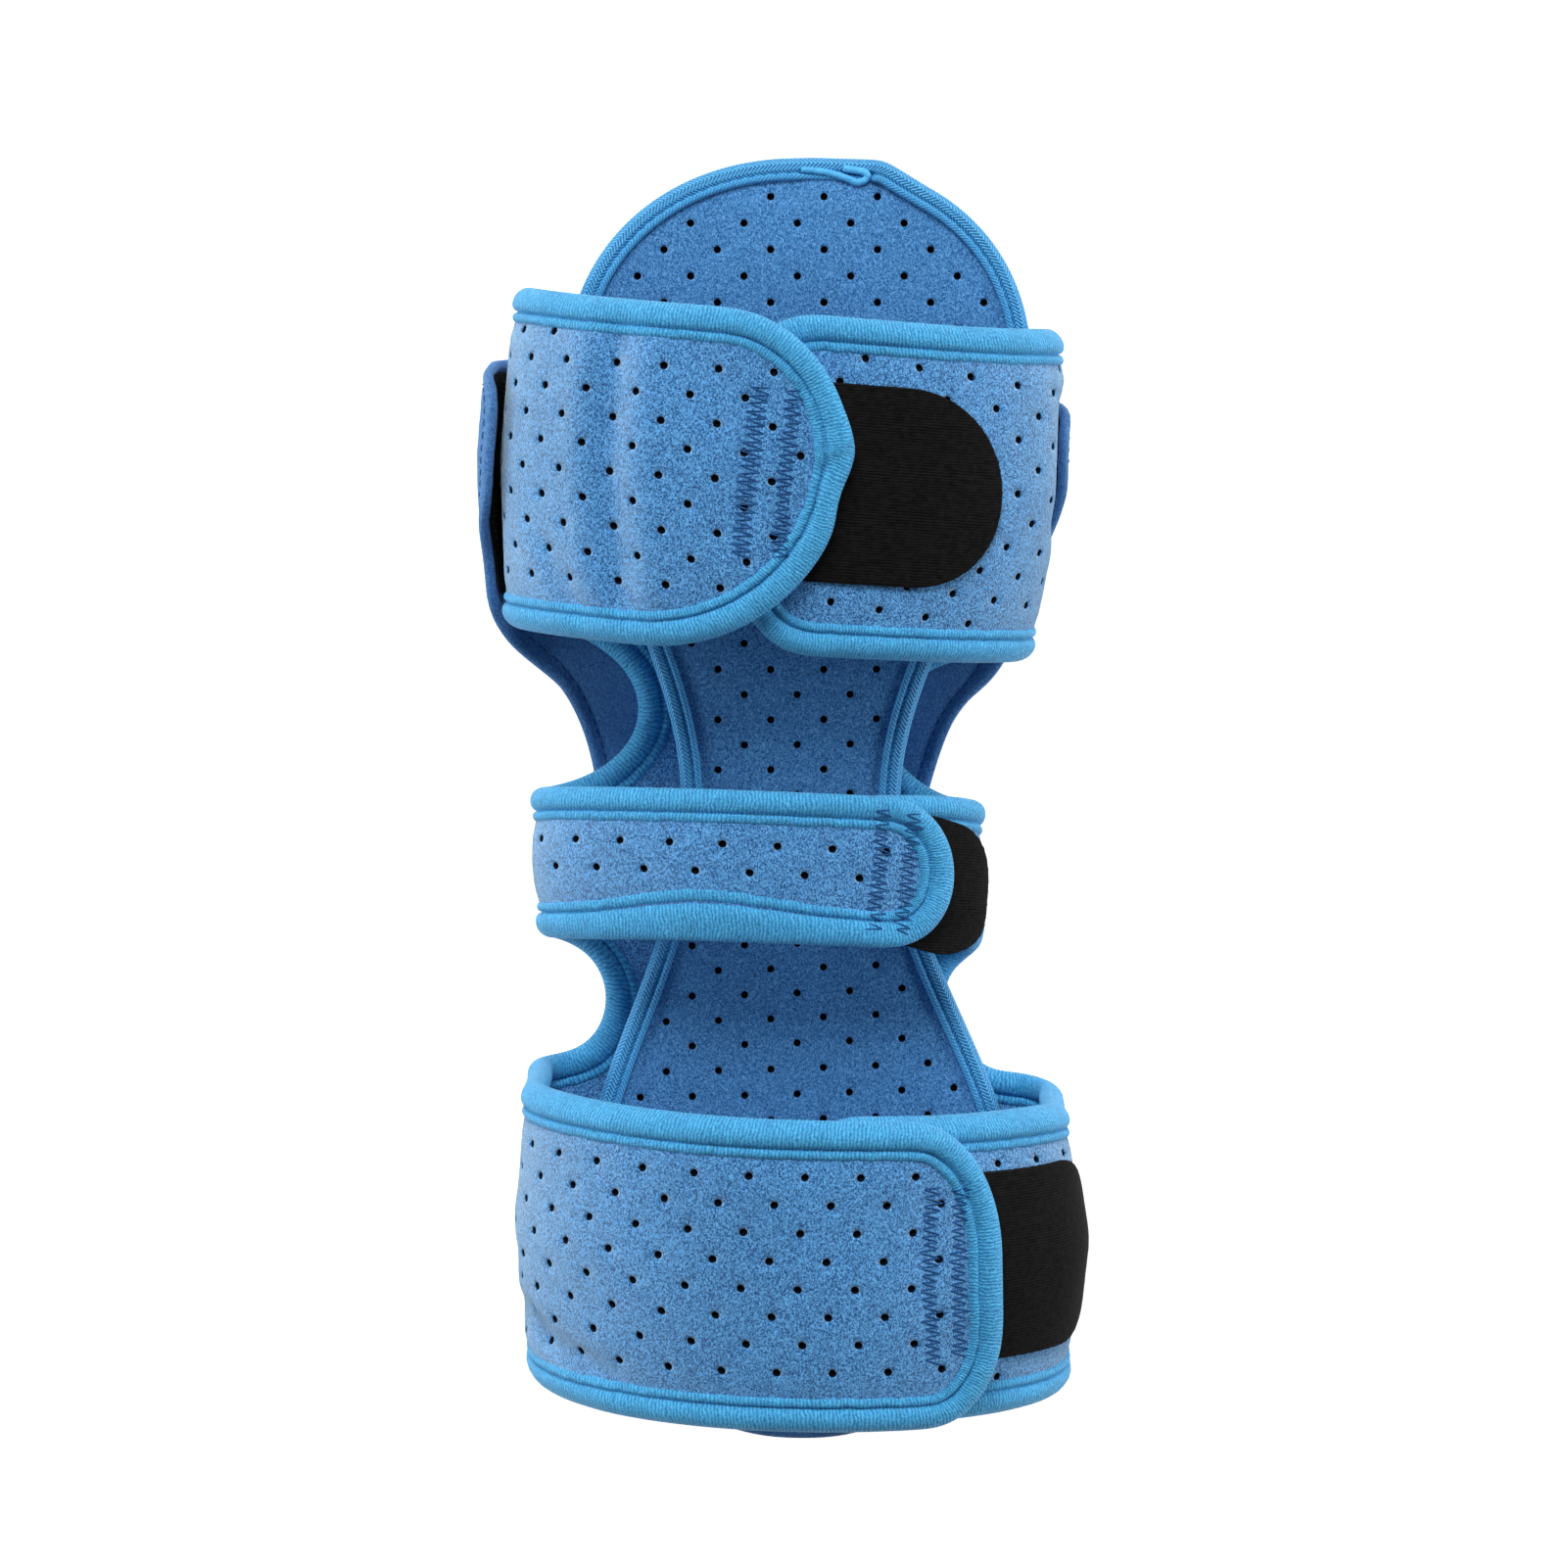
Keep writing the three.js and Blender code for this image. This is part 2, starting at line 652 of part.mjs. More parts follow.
const pieces = new THREE.Group();
pieces.add(piece('back_cover', thicken(coverPattern(), onCover, -COVER_HALF, COVER_HALF), 'coverVelour'));
pieces.add(piece('cover_hook_left', hookStripSolid(-1), 'hook'));
pieces.add(piece('cover_hook_right', hookStripSolid(1), 'hook'));
pieces.add(piece('wrap_panel', thicken(wrapSheet, onWrap, -WRAP_HALF, WRAP_HALF), 'strapVelour'));
pieces.add(piece('wrap_binding', foldedTape(wrapStations, onWrap, bindingSection), 'rib'));
pieces.add(piece('splint_board', thicken(boardSheet, onBoard, -BOARD_HALF, BOARD_HALF), 'boardVelour'));
pieces.add(piece('board_tape', foldedTape(boardStations, onBoard, boardTapeSection), 'tape'));
for (const tab of TABS) {
  pieces.add(piece(`hook_tab_${tab.strap}`, tabSolid(tab), 'hook'));
}

// The origin is on the floor, under the middle of the splint's box
const box = new THREE.Box3().setFromObject(pieces);
const middle = box.getCenter(new THREE.Vector3());
pieces.position.set(-middle.x, -middle.y, -box.min.z);

const splint = new THREE.Group();
splint.add(pieces);

export default splint;
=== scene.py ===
import math

import bpy
import numpy as np
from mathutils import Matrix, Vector, kdtree, noise
from mathutils.geometry import delaunay_2d_cdt


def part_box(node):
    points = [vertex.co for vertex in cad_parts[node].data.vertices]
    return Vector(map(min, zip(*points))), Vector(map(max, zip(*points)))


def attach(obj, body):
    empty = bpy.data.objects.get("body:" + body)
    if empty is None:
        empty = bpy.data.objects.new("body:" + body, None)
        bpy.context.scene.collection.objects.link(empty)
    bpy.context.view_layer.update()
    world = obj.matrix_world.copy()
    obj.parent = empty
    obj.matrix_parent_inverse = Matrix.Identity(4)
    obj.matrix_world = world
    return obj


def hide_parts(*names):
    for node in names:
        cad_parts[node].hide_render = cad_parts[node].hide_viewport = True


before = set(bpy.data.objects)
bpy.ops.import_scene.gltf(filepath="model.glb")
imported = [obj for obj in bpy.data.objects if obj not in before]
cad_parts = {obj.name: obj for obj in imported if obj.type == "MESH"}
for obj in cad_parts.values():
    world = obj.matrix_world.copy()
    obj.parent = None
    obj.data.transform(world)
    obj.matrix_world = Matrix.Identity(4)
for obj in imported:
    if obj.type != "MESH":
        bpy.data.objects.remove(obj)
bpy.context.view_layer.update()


def table(columns, *rows):
    """Rows of a table, each with its columns' names"""
    return [dict(zip(columns.split(), row)) for row in rows]


# Sizes in millimetres. Working frame: y up the board, x across it, z up from the floor.
MM = 0.001
SEED = 7
random = np.random.default_rng(SEED)
SIDES = ((-1, "left"), (1, "right"))

# The closed straps' outside, a row for each height y: centre, half width, height of the turned-up sides and
# of the arched front, and how far a row slopes across the splint and leans up it
SECTIONS = table(
    "y centre half side height skew lean",
    (-155, 3.9, 68.2, 46, 90, -0.015, 0),
    (-115, 4.1, 72.6, 46, 91, -0.022, 0),
    (-76.5, 2.9, 68.3, 46, 89, -0.035, 0),
    (-44.4, -6.3, 56, 23, 50, -0.040, 0.155),
    (-25, -7.1, 58, 23, 50, -0.040, 0.155),
    (-5, -6.8, 56.8, 23, 50, -0.040, 0.155),
    (38, -4.3, 67, 23, 59.5, -0.067, 0),
    (81.5, -0.7, 71.8, 23, 60.5, -0.075, 0),
    (110, 0.9, 71, 23, 60, -0.08, 0),
    (125, 1.3, 68.9, 23, 59.5, -0.083, 0),
)
WRAP_LEVEL = 6.0
TURN_RADIUS = 8.5
TURN_POINTS = 19
CROWN_POINTS = 200
CROWN_TURN = math.pi * 0.97
ROW_STEP = 1.0
CLOTH_STEP = 0.5
ROWS = np.arange(-200.0, 171.0, ROW_STEP)
CLOTH = np.arange(0.0, 300.0, CLOTH_STEP)
LAST_CELL = 1.001
SMOOTH_ROWS = 7

# Straps: heights of the edges, x that the ends reach to, rise of the left wing over the right.
# Corners of the left ends are (along the strap, across it) above and below. The right ends are round.
# The dips move the upper and lower edge up or down where the cloth turns at the sides.
STRAPS = table(
    "upper lower left right lap above below radius dip_left dip_right",
    (125, 38, 16, -12.5, 7.3, (32, 33.5), (55, 53), 22, (0.8, 0), (1.3, 0)),
    (-5, -44.4, 39.5, 6, 8.6, (17, 19), (17, 19.6), 19.5, (0, -0.8), (1.6, 4.0)),
    (-76.5, -155.2, 51.5, -2, 7.3, (24, 35), (20, 27), 23, (-0.6, 3.4), (-3.4, 1.6)),
)
DIP_PLACE = 86
DIP_WIDTH = 24
# Cut-outs between the straps: depth, their mouths at the upper and lower strap on each side, and how far
# their deepest place lies towards the upper strap
CUTOUTS = table(
    "depth left right bias_left bias_right",
    (33.4, (66, 66), (66, 66), 1.0, 1.0),
    (45.8, (66, 66), (66, 55), 1.45, 1.0),
)
CUTOUT_POINTS = 40
WING_START = 88
LAP_CLEARANCE = 8

# Padded cloths: how far inside the finished edge they are cut, half thickness there, what the padding adds,
# the depths where it starts and is full, those of its unevenness, and the dip round each hole
PADDED = {row["name"]: row for row in table(
    "name inset thin padding full uneven dimple",
    ("wrap", 2.5, 1.25, 0.8, (5.5, 14), (7, 14), 0.35),
    ("board", 1.6, 1.9, 1.0, (4.5, 11), (6, 14), 0.3),
)}
INNER_CREASE = 0.7
# Slow waves of the wings start and are full at these lengths of cloth, and the turned-up edges curl in
WING_WAVES = (70, 110)
EDGE_CURL = {"depth": 0.9, "reach": (68, 84, 130, 165), "width": 4.5}
# Where the cover's right wing and its hook strip press the wrap in
WING_PRESS = {"depth": 1.9, "s": (58, 66, 86, 98), "y": (66, 78, 106, 114)}
# Steps of the finished edge and of the cloth inside the binding
EDGE_STEP = 1.6
EDGE_ROUNDS = 3
PANEL_EDGE_STEP = 2.4
MESH_STEP = 3.3

# Zigzag seams that hold the hook tabs on: the places of the flat cut that they run between, their width,
# and how far their ends bow back from the strap's tip
ZIGZAGS = table(
    "from to width bow",
    ((-167.6, 106.0), (-162.4, 62.6), 5.8, 0),
    ((-175.6, 105.6), (-171.8, 63.0), 4.9, 0),
    ((-170.8, -8.4), (-168.2, -40.6), 4.9, 1.5),
    ((-178.0, -9.2), (-174.9, -41.0), 4.9, 1.5),
    ((-232.2, -92.4), (-232.6, -138.0), 4.9, 0),
    ((-239.6, -93.0), (-239.4, -136.4), 4.9, 0),
)
ZIGZAG_PITCH = 1.95
ZIGZAG_PRESS = {"depth": 0.5, "width": 0.6, "fade": 0.07}
THREAD_RADIUS = 0.2
STITCH = {
    "points": 6, "stray_across": 0.3, "stray_along": 0.14, "slant": 0.1,
    "sag": 0.18, "rise": 0.42, "sunk": 0.25,
}
# Straight seams: stitch, gap, thread radius, and how far a stitch rises from where its ends are sunk
SEAM = {
    "long": 2.3, "short": 0.9, "radius": 0.17, "sides": 5, "step": 0.2, "every": 3,
    "rise": 0.3, "sunk": 0.22,
}
STITCH_ARCH = 0.6

# Soft creases of the straps, from one place of the flat cut to another, and the ridge beside each
CREASES = table(
    "from to depth width",
    ((-129.8, 118), (-131.2, 48), 2.3, 4.0),
    ((-110, -134), (-154, -145), 1.5, 3.2),
    ((-104, -112), (-128, -141), 0.8, 3.5),
    ((-106, 66), (-120, 42), 0.8, 3.0),
    ((-150, 118), (-158, 92), 0.5, 4.0),
)
CREASE_FADE = 0.15
CREASE_RIDGE = {"height": 0.55, "away": 2.2, "width": 1.3}

# Perforation: rows of holes, every second row set half a pitch aside. Own set-out for each wing.
HOLE_RADIUS = 1.0
HOLE_SIDES = 10
HOLE_RIM = 1.65
# The floors that close each hole lie this far from the cloth's middle; with the walls they carry painted
# shade
HOLE_WEB = 0.15
HOLE_KEEP = 0.96
HOLE_MARGIN = 0.7
HOLE_WALL = HOLE_RADIUS * 1.3
DIMPLE_WIDTH = 0.45
# Pitch along the strap, pitch across it, slope of the rows, and the place of one hole
STRAP_HOLES = table(
    "left right",
    ((13.5, 13.7, -0.02, -157.1, 109.4), (13.8, 14.0, 0.095, 137.3, 113.6)),
    ((13.1, 14.4, 0.008, -131.7, -19.4), (13.6, 14.0, 0.02, 2.0, 4.7)),
    ((13.35, 14.2, -0.01, -188.0, -90.1), (13.8, 14.0, 0.02, 1.7, -0.9)),
)
HOLE_CLEARANCE = 6.5
HOLE_EDGE = [9.9, 12.5, 9.9]
HOLES_LOOKED_BACK = 200

# Board: ends of the hourglass, and how square its right and left sides turn into them
BOARD = {"top": 165.3, "bottom": -166, "right": 2.2, "left": 2.1}
TOP_LOBE = {"y": 109, "half": 61.5, "centre": 3.9}
WAIST = {"y": -5, "half": 29.3, "centre": 1.8}
BOTTOM_LOBE = {"y": -119, "half": 59.5, "centre": 4.3}
END_POINTS = 60
FLANK_POINTS = 160
# Shoulder at the top right, where the tape's ends meet
SHOULDER = [(8.0, 165.4), (24.8, 164.9), (27.4, 164.1), (36.2, 158.8)]
FRONT_SWELL = 3.0
BACK_SWELL = 2.6
BOARD_LEVEL = 15.1
# Least half width that the swell is measured by
NARROWEST = 0.01
BOARD_EDGE_STEP = 1.3
BOARD_BACK_STEP = 5.0
# Heights of numbered hole rows on the board, and the rows' slope at those heights
BOARD_HOLE_ROWS = {"row": [46, 33, 31, 22, 18, 0], "y": [-159.1, -69.2, -55.7, 4.3, 31, 155.1]}
BOARD_HOLE_SLOPE = {"y": [-160, -60, -20, 31], "slope": [0, 0.04, 0.02, 0]}
BOARD_ROWS = np.arange(-4, 52)
BOARD_COLUMNS = np.arange(-8, 9)
BOARD_HOLE_PITCH = 14.0
BOARD_ROW_PITCH = 6.9
BOARD_HOLE_PHASE = -3.5
BOARD_HOLE_FLOOR = 0.4
BOARD_HOLE_EDGE = 8.2
# The tape's end: its cord curls round in a hook, and the other end lies over it from the fold on
CORD_HOOK = [
    (4.5, 162.3), (11.3, 161.6), (16.1, 160.1), (19.2, 158.7), (21.3, 159.4), (22.1, 160.5),
    (21.1, 161.6), (18.7, 162.0), (15.6, 162.4),
]
CORD = {
    "radius": 0.95, "sides": 10, "points": 60, "rounds": 6, "height": 3.0, "rise": 0.5,
    "along": (0.45, 0.75), "map_place": (0.0, 2.0),
}
TAPE_LAP = {"x": 26.3, "y": 164.0, "slant": 0.45, "step": 0.7, "ramp": 0.5, "fade": 34}
# Before the fold the tape's inner cord sinks out of sight under the hook
TAPE_SUNK = {"depth": 0.9, "start": -22, "full": -16, "inset": 3.2, "over": 0.8}

# Tabs of hook tape: x of the hidden end and of the tip, edges, corner radius, height above the loop,
# and how many degrees the tip droops
TABS = table(
    "name start tip upper lower radius lift droop",
    ("top", 3, 54.3, 108.3, 57.5, 25, 2.0, 0),
    ("middle", 19, 49.6, -9, -44, 15, 3.3, 12),
    ("bottom", 24, 80, -90.5, -139.5, 18, 2.0, 0),
)
TAB_PIVOT = 0.6
TAB_GAP = 0.5
TAB_THICKNESS = 1.1
TAB_REAR = 1.0
TAB_ROUND = 0.6
TAB_REAR_POINTS = 4
TAB_TIP_POINTS = 24
TAB_EDGE_STEP = 1.2
TAB_CONTOURS = [0.25, 0.7]
HOOK_MESH_STEP = 2.6

# Cover behind the wrap: how far it reaches along the cloth on each side, at its heights
COVER = table(
    "y left right",
    (150, 9, 9), (147, 25, 25), (142, 36, 36), (135, 44.5, 44.5), (127, 51, 51), (119, 55, 55),
    (114, 57.5, 58), (111, 58.5, 62), (108.4, 61, 67.5), (107.2, 65, 70), (106, 75, 73), (104, 88.5, 77),
    (101, 94.5, 80.8), (96, 96.5, 82.6), (90, 96.5, 80), (84, 96.5, 76.6), (76, 95.5, 73), (69, 92, 69.8),
    (62, 86, 68), (57, 80.5, 66.8), (52, 76.5, 66), (46, 74, 65), (39.5, 70, 63.5), (33, 65.2, 61.2),
    (26.7, 58.8, 57.2), (20.5, 53, 51.4), (10, 47.6, 48), (0, 44.4, 45.8), (-22, 41.2, 41), (-59, 40, 40),
    (-95, 46, 46), (-130, 49, 49), (-160, 43, 43), (-172, 33, 33), (-178, 23, 23), (-181, 14, 14),
    (-182, 6, 6),
)
COVER_OFFSET = 4.8
COVER_HALF = 1.2
COVER_ROUND = 1.3
COVER_EDGE_STEP = 2.0
COVER_EDGE_ROUNDS = 9
COVER_MESH_STEP = 3.6
# Sideways shifts of the cover's sides: off the wrap's edges, and of the wings from the top strap
COVER_STAND_OFF = {"start": 48, "full": 66, "left": 1.6, "right": -0.7}
COVER_FLARE = {"left": (72, 96, 1.2), "right": (66, 84, -1.6)}
COVER_WAVES = (50, 80)
COVER_SEAM = 3.7
COVER_GROOVE = {"depth": 0.55, "width": 0.8}
COVER_HEM = {"height": 0.45, "inset": 1.6, "width": 1.5}
COVER_CONTOURS = [0.3, 0.9, 1.7, 2.7, COVER_SEAM, 4.7, 6.6]
COVER_SEAM_HEIGHT = 0.85
# Hook strips: near edge along the cloth, farthest edge, upper and lower end. They keep off the wings' edges.
HOOK_STRIPS = {"left": (64, 92.5, 103.5, 44), "right": (62, 75, 104, 82)}
HOOK_STRIP_MARGIN = 4.0
HOOK_STRIP_LEAST = 2
HOOK_STRIP_STEP = 1.5
HOOK_STRIP_CONTOURS = [0.4]
HOOK_STRIP_NEAR = 1.5
HOOK_STRIP_FAR = 2.7
HOOK_STRIP_TOP = 0.7
HOOK_STRIP_ROUND = {"height": 0.25, "width": 0.3}
BRISTLE_PITCH = 1.25
BRISTLE_MARGIN = 1.2
BRISTLE_STRAY = 0.12
BRISTLE_LEAN = np.array([0, 0.05, 0.25, 0.55])
BRISTLE_RISE = np.array([0.0, 0.4, 0.72, 0.6])
BRISTLE_RADII = [0.16, 0.15, 0.13, 0.08]
BRISTLE_SIDES = 4
BRISTLE_SHIFT = 0.5
BRISTLE_END = 1.0
BRISTLE_FOOT = 0.75

# Edge tapes, as (distance in from the finished edge, height above the cloth's middle)
BINDING_PROFILE = [
    (9.15, 1.0), (9.0, 1.6), (8.7, 2.0), (8.2, 2.3), (7.6, 2.4), (7.1, 2.25), (6.8, 1.9), (6.6, 1.35),
    (6.35, 1.35), (6.2, 1.9), (5.8, 2.5), (5.1, 3.0), (4.1, 3.3), (3.0, 3.3), (1.9, 2.95), (1.1, 2.35),
    (0.45, 1.5), (0.1, 0.65),
]
BINDING_INSETS = [inset for inset, height in BINDING_PROFILE][::-1]
BINDING_HEIGHTS = [height for inset, height in BINDING_PROFILE][::-1]
# The part of the binding that the stitching draws to and fro, and how far creases and zigzags press it
BINDING_INNER = (5.5, 7.5)
BINDING_CREASE = 0.8
BINDING_PRESS_HEIGHT = 2
# Place along the middle strap's lower edge where the binding rolls over and looks wider
BINDING_BULGE = {"s": -126, "y": -44.4, "near": 2, "reach": 24, "widen": 0.5}
# Where the binding's ends lap at the tip of the top left strap: its height, how far the edge stands out there
# and over which length, the notch below it, and the slanting step of the lap
LAP_TIP = {
    "y": 91.5, "zone": 12, "rise": 1.3, "above": 11, "below": 8,
    "notch": 1.3, "notch_drop": 13, "notch_reach": 6, "straight": (3, 8),
    "slant": 1.3, "root": 3, "ramp": 0.9, "fade": 26, "step": 1.15, "full_height": 1.5,
}
TAPE_PROFILE = [
    (6.0, 1.5), (5.85, 2.9), (5.5, 3.6), (5.0, 3.85), (4.5, 3.65), (4.15, 3.15), (3.95, 2.95), (3.7, 3.1),
    (3.2, 3.5), (2.4, 3.7), (1.6, 3.6), (0.9, 3.2), (0.35, 2.4), (0.05, 1.3),
]
TAPE_SEAM = {"inset": 3.95, "height": 3.0}
# Length round the tape from its inner edge to the board's edge, and how much of that is the cord
TAPE_REACH = 10.96
TAPE_CORD = 4.2

# Unevenness of the cloths: height, size and seed of the waves
WAVES = {
    "wrap": (0.12, 9, 3.1), "wings": (0.55, 34, 8.7), "binding": (0.05, 7, 5.3),
    "binding_edge": (0.4, 3.2, 2.9), "board": (0.12, 12, 1.7), "hem": (0.5, 2.6, 2.9),
    "cover": (0.35, 26, 4.4), "tab": (0.12, 11, 6.2),
}
# Least share of a round edge's width, so that no cloth ends in a knife edge
SHARPEST = 0.02


# Curves
def smoothstep(value, start, full):
    share = np.clip((value - start) / (full - start), 0, 1)
    return share * share * (3 - 2 * share)


def between(value, start, full, fade, end):
    """From 0 at the start up to 1, and down to 0 again at the end"""
    return smoothstep(value, start, full) * smoothstep(-value, -end, -fade)


def bell(value, middle, width, power=2):
    return np.exp(-((value - middle) / width) ** power)


def rounded_edge(depth, width):
    """Share of the full thickness that a cloth has at a depth in from its round edge"""
    return np.sqrt(1 - (1 - np.clip(depth / width, SHARPEST, 1)) ** 2)


def ripple(flat, name):
    """Smooth random heights over flat places"""
    height, size, seed = WAVES[name]
    return height * np.array([noise.noise(Vector((p[0] / size, p[1] / size, seed))) for p in flat])


# The closed loop
def column(name):
    """A column of the section table at every row, its corners rounded off"""
    values = np.interp(ROWS, [s["y"] for s in SECTIONS], [s[name] for s in SECTIONS])
    kernel = np.hamming(2 * SMOOTH_ROWS + 1)
    padded = np.pad(values, SMOOTH_ROWS, mode="edge")
    return np.convolve(padded, kernel / kernel.sum(), mode="valid")


SECTION = {name: column(name) for name in SECTIONS[0] if name != "y"}


def loop_table():
    """Half outlines of the loop, from the back's middle round the side to the front, by length of cloth"""
    cells = np.zeros((len(ROWS), len(CLOTH), 4))
    turn = np.linspace(0, math.pi / 2, TURN_POINTS)
    crown = np.linspace(0, CROWN_TURN, CROWN_POINTS)
    fronts = []
    for i in range(len(ROWS)):
        half, side, rise = SECTION["half"][i], SECTION["side"][i], SECTION["height"][i] - SECTION["side"][i]
        turn_x = half - TURN_RADIUS
        x = np.concatenate([[0], turn_x + TURN_RADIUS * np.sin(turn), half * np.cos(crown)])
        z = np.concatenate([[0], TURN_RADIUS * (1 - np.cos(turn)), side - WRAP_LEVEL + rise * np.sin(crown)])
        steep = np.hypot(np.cos(crown) / half, np.sin(crown) / rise)
        nx = np.concatenate([[0], np.sin(turn), np.cos(crown) / half / steep])
        nz = np.concatenate([[-1], -np.cos(turn), np.sin(crown) / rise / steep])
        length = np.concatenate([[0], np.cumsum(np.hypot(np.diff(x), np.diff(z)))])
        for k, values in enumerate((x, z + WRAP_LEVEL, nx, nz)):
            cells[i, :, k] = np.interp(CLOTH, length, values)
        fronts.append((length[-CROWN_POINTS:], x[-CROWN_POINTS:]))
    return cells, fronts


LOOP, FRONTS = loop_table()


def on_loop(across, y, offset):
    """Places on the loop: length of cloth from the back's middle, height, and distance outwards"""
    row = np.clip((y - ROWS[0]) / ROW_STEP, 0, len(ROWS) - LAST_CELL)
    along = np.clip(np.abs(across) / CLOTH_STEP, 0, len(CLOTH) - LAST_CELL)
    i, j = row.astype(int), along.astype(int)
    a, b = (row - i)[:, None], (along - j)[:, None]
    low = LOOP[i, j] * (1 - b) + LOOP[i, j + 1] * b
    high = LOOP[i + 1, j] * (1 - b) + LOOP[i + 1, j + 1] * b
    at = low * (1 - a) + high * a
    x = np.sign(across) * (at[:, 0] + at[:, 2] * offset)
    z = at[:, 1] + at[:, 3] * offset
    centre, skew, lean = (np.interp(y, ROWS, SECTION[name]) for name in ("centre", "skew", "lean"))
    return np.column_stack([centre + x, y + skew * x + lean * (z - WRAP_LEVEL), z])


def front_lengths(x, side):
    """Length of cloth from the back's middle to a place on the front, at every row"""
    found = []
    for (length, front_x), centre in zip(FRONTS, SECTION["centre"]):
        found.append(np.interp(-side * (x - centre), -front_x, length))
    return np.array(found)


for strap in STRAPS:
    strap["middle"] = (strap["upper"] + strap["lower"]) / 2
    strap["ends"] = {side: front_lengths(strap[name], side) for side, name in SIDES}
    strap["reach"] = {side: np.interp(strap["middle"], ROWS, ends) for side, ends in strap["ends"].items()}
    middle_row = int(round((strap["middle"] - ROWS[0]) / ROW_STEP))
    strap["lap_start"] = FRONTS[middle_row][0][0]
    strap["lap_full"] = front_lengths(strap["right"] - LAP_CLEARANCE, -1)[middle_row]


def strap_of(y):
    return np.argmin(np.abs(y[:, None] - np.array([s["middle"] for s in STRAPS])), axis=1)


def wings(flat):
    """Each strap with a side, that side's name, and which places lie on that wing"""
    nearest = strap_of(flat[:, 1])
    for k, strap in enumerate(STRAPS):
        for side, name in SIDES:
            yield strap, side, name, (nearest == k) & (flat[:, 0] * side > 0)


def on_wrap(flat, offset):
    """Places of the wrap's flat cut on the closed loop. The left wings rise over the right ones."""
    s, y = flat[:, 0], flat[:, 1]
    across = s.copy()
    raised = np.zeros(len(s))
    for strap, side, _, here in wings(flat):
        reach = np.abs(s[here])
        end = np.interp(y[here], ROWS, strap["ends"][side])
        stretch = (end - WING_START) / (strap["reach"][side] - WING_START)
        across[here] = side * np.where(reach > WING_START, WING_START + (reach - WING_START) * stretch, reach)
        if side < 0:
            raised[here] = strap["lap"] * smoothstep(-across[here], strap["lap_start"], strap["lap_full"])
    return on_loop(across, y, offset + raised)


# Closed paths
def resample(path, step):
    """Even points along a closed path, and its length"""
    closed = np.vstack([path, path[:1]])
    length = np.concatenate([[0], np.cumsum(np.linalg.norm(np.diff(closed, axis=0), axis=1))])
    count = int(round(length[-1] / step))
    at = np.arange(count) * length[-1] / count
    return np.column_stack([np.interp(at, length, closed[:, k]) for k in (0, 1)]), length[-1]


def soften(loop, rounds):
    for _ in range(rounds):
        loop = (np.roll(loop, 1, axis=0) + 2 * loop + np.roll(loop, -1, axis=0)) / 4
    return loop


def inward(loop):
    """Unit vectors to the right of a clockwise path, into its inside"""
    ahead = np.roll(loop, -1, axis=0) - np.roll(loop, 1, axis=0)
    ahead = ahead / np.linalg.norm(ahead, axis=1)[:, None]
    return np.column_stack([ahead[:, 1], -ahead[:, 0]])


def arc(centre, radius, start, end, count=14):
    """Points of an arc. Two radii make it a part of an ellipse."""
    turn = np.radians(np.linspace(start, end, count))
    return np.array(centre) + np.column_stack([np.cos(turn), np.sin(turn)]) * radius


def corner(end, upper, lower, above, below):
    """Round end of a wing, from its upper edge to its lower one"""
    top = arc((end - above[0], upper - above[1]), above, 90, 0)
    bottom = arc((end - below[0], lower + below[1]), below, 0, -90)
    return np.vstack([top, bottom])


def wrap_outline():
    """The wrap's finished edge in its flat cut, clockwise: straps with round ends and C-shaped cut-outs"""
    halves = {}
    turn = np.linspace(0, math.pi, CUTOUT_POINTS)
    for side, name in SIDES:
        path = [np.array([[0.0, STRAPS[0]["upper"]]])]
        for k, strap in enumerate(STRAPS):
            round_corner = (strap["radius"], strap["radius"])
            above = strap["above"] if side < 0 else round_corner
            below = strap["below"] if side < 0 else round_corner
            path.append(corner(strap["reach"][side], strap["upper"], strap["lower"], above, below))
            if k < len(CUTOUTS):
                share = ((1 - np.cos(turn)) / 2) ** CUTOUTS[k]["bias_" + name]
                y = strap["lower"] + (STRAPS[k + 1]["upper"] - strap["lower"]) * share
                mouth = np.where(turn < math.pi / 2, *CUTOUTS[k][name])
                path.append(np.column_stack([mouth + (CUTOUTS[k]["depth"] - mouth) * np.sin(turn), y]))
        path.append(np.array([[0.0, STRAPS[-1]["lower"]]]))
        halves[side] = np.vstack(path) * (side, 1)
    return np.vstack([halves[1], halves[-1][-2:0:-1]])


def edge_dips(flat):
    """How far the straps' edges run up or down from straight at the turned sides"""
    moved = np.zeros(len(flat))
    for strap, _, name, here in wings(flat):
        share = (flat[here, 1] - strap["middle"]) / (strap["upper"] - strap["middle"])
        upper, lower = strap["dip_" + name]
        dip = np.where(share > 0, upper, lower) * np.minimum(1, share ** 2)
        moved[here] = dip * bell(np.abs(flat[here, 0]), DIP_PLACE, DIP_WIDTH)
    return moved


def board_shape(y, roundness=BOARD["right"]):
    """Centre and half width of the board at heights y"""
    upper = y > WAIST["y"]
    lobe = {name: np.where(upper, TOP_LOBE[name], BOTTOM_LOBE[name]) for name in TOP_LOBE}
    end = np.where(upper, BOARD["top"], BOARD["bottom"])
    ease = (1 - np.cos(math.pi * np.clip((y - WAIST["y"]) / (lobe["y"] - WAIST["y"]), 0, 1))) / 2
    to_end = np.clip((y - lobe["y"]) / (end - lobe["y"]), 0, 1)
    rounded = (1 - to_end ** roundness) ** (1 / roundness)
    centre, half = (WAIST[name] + (lobe[name] - WAIST[name]) * ease for name in ("centre", "half"))
    return centre, half * rounded


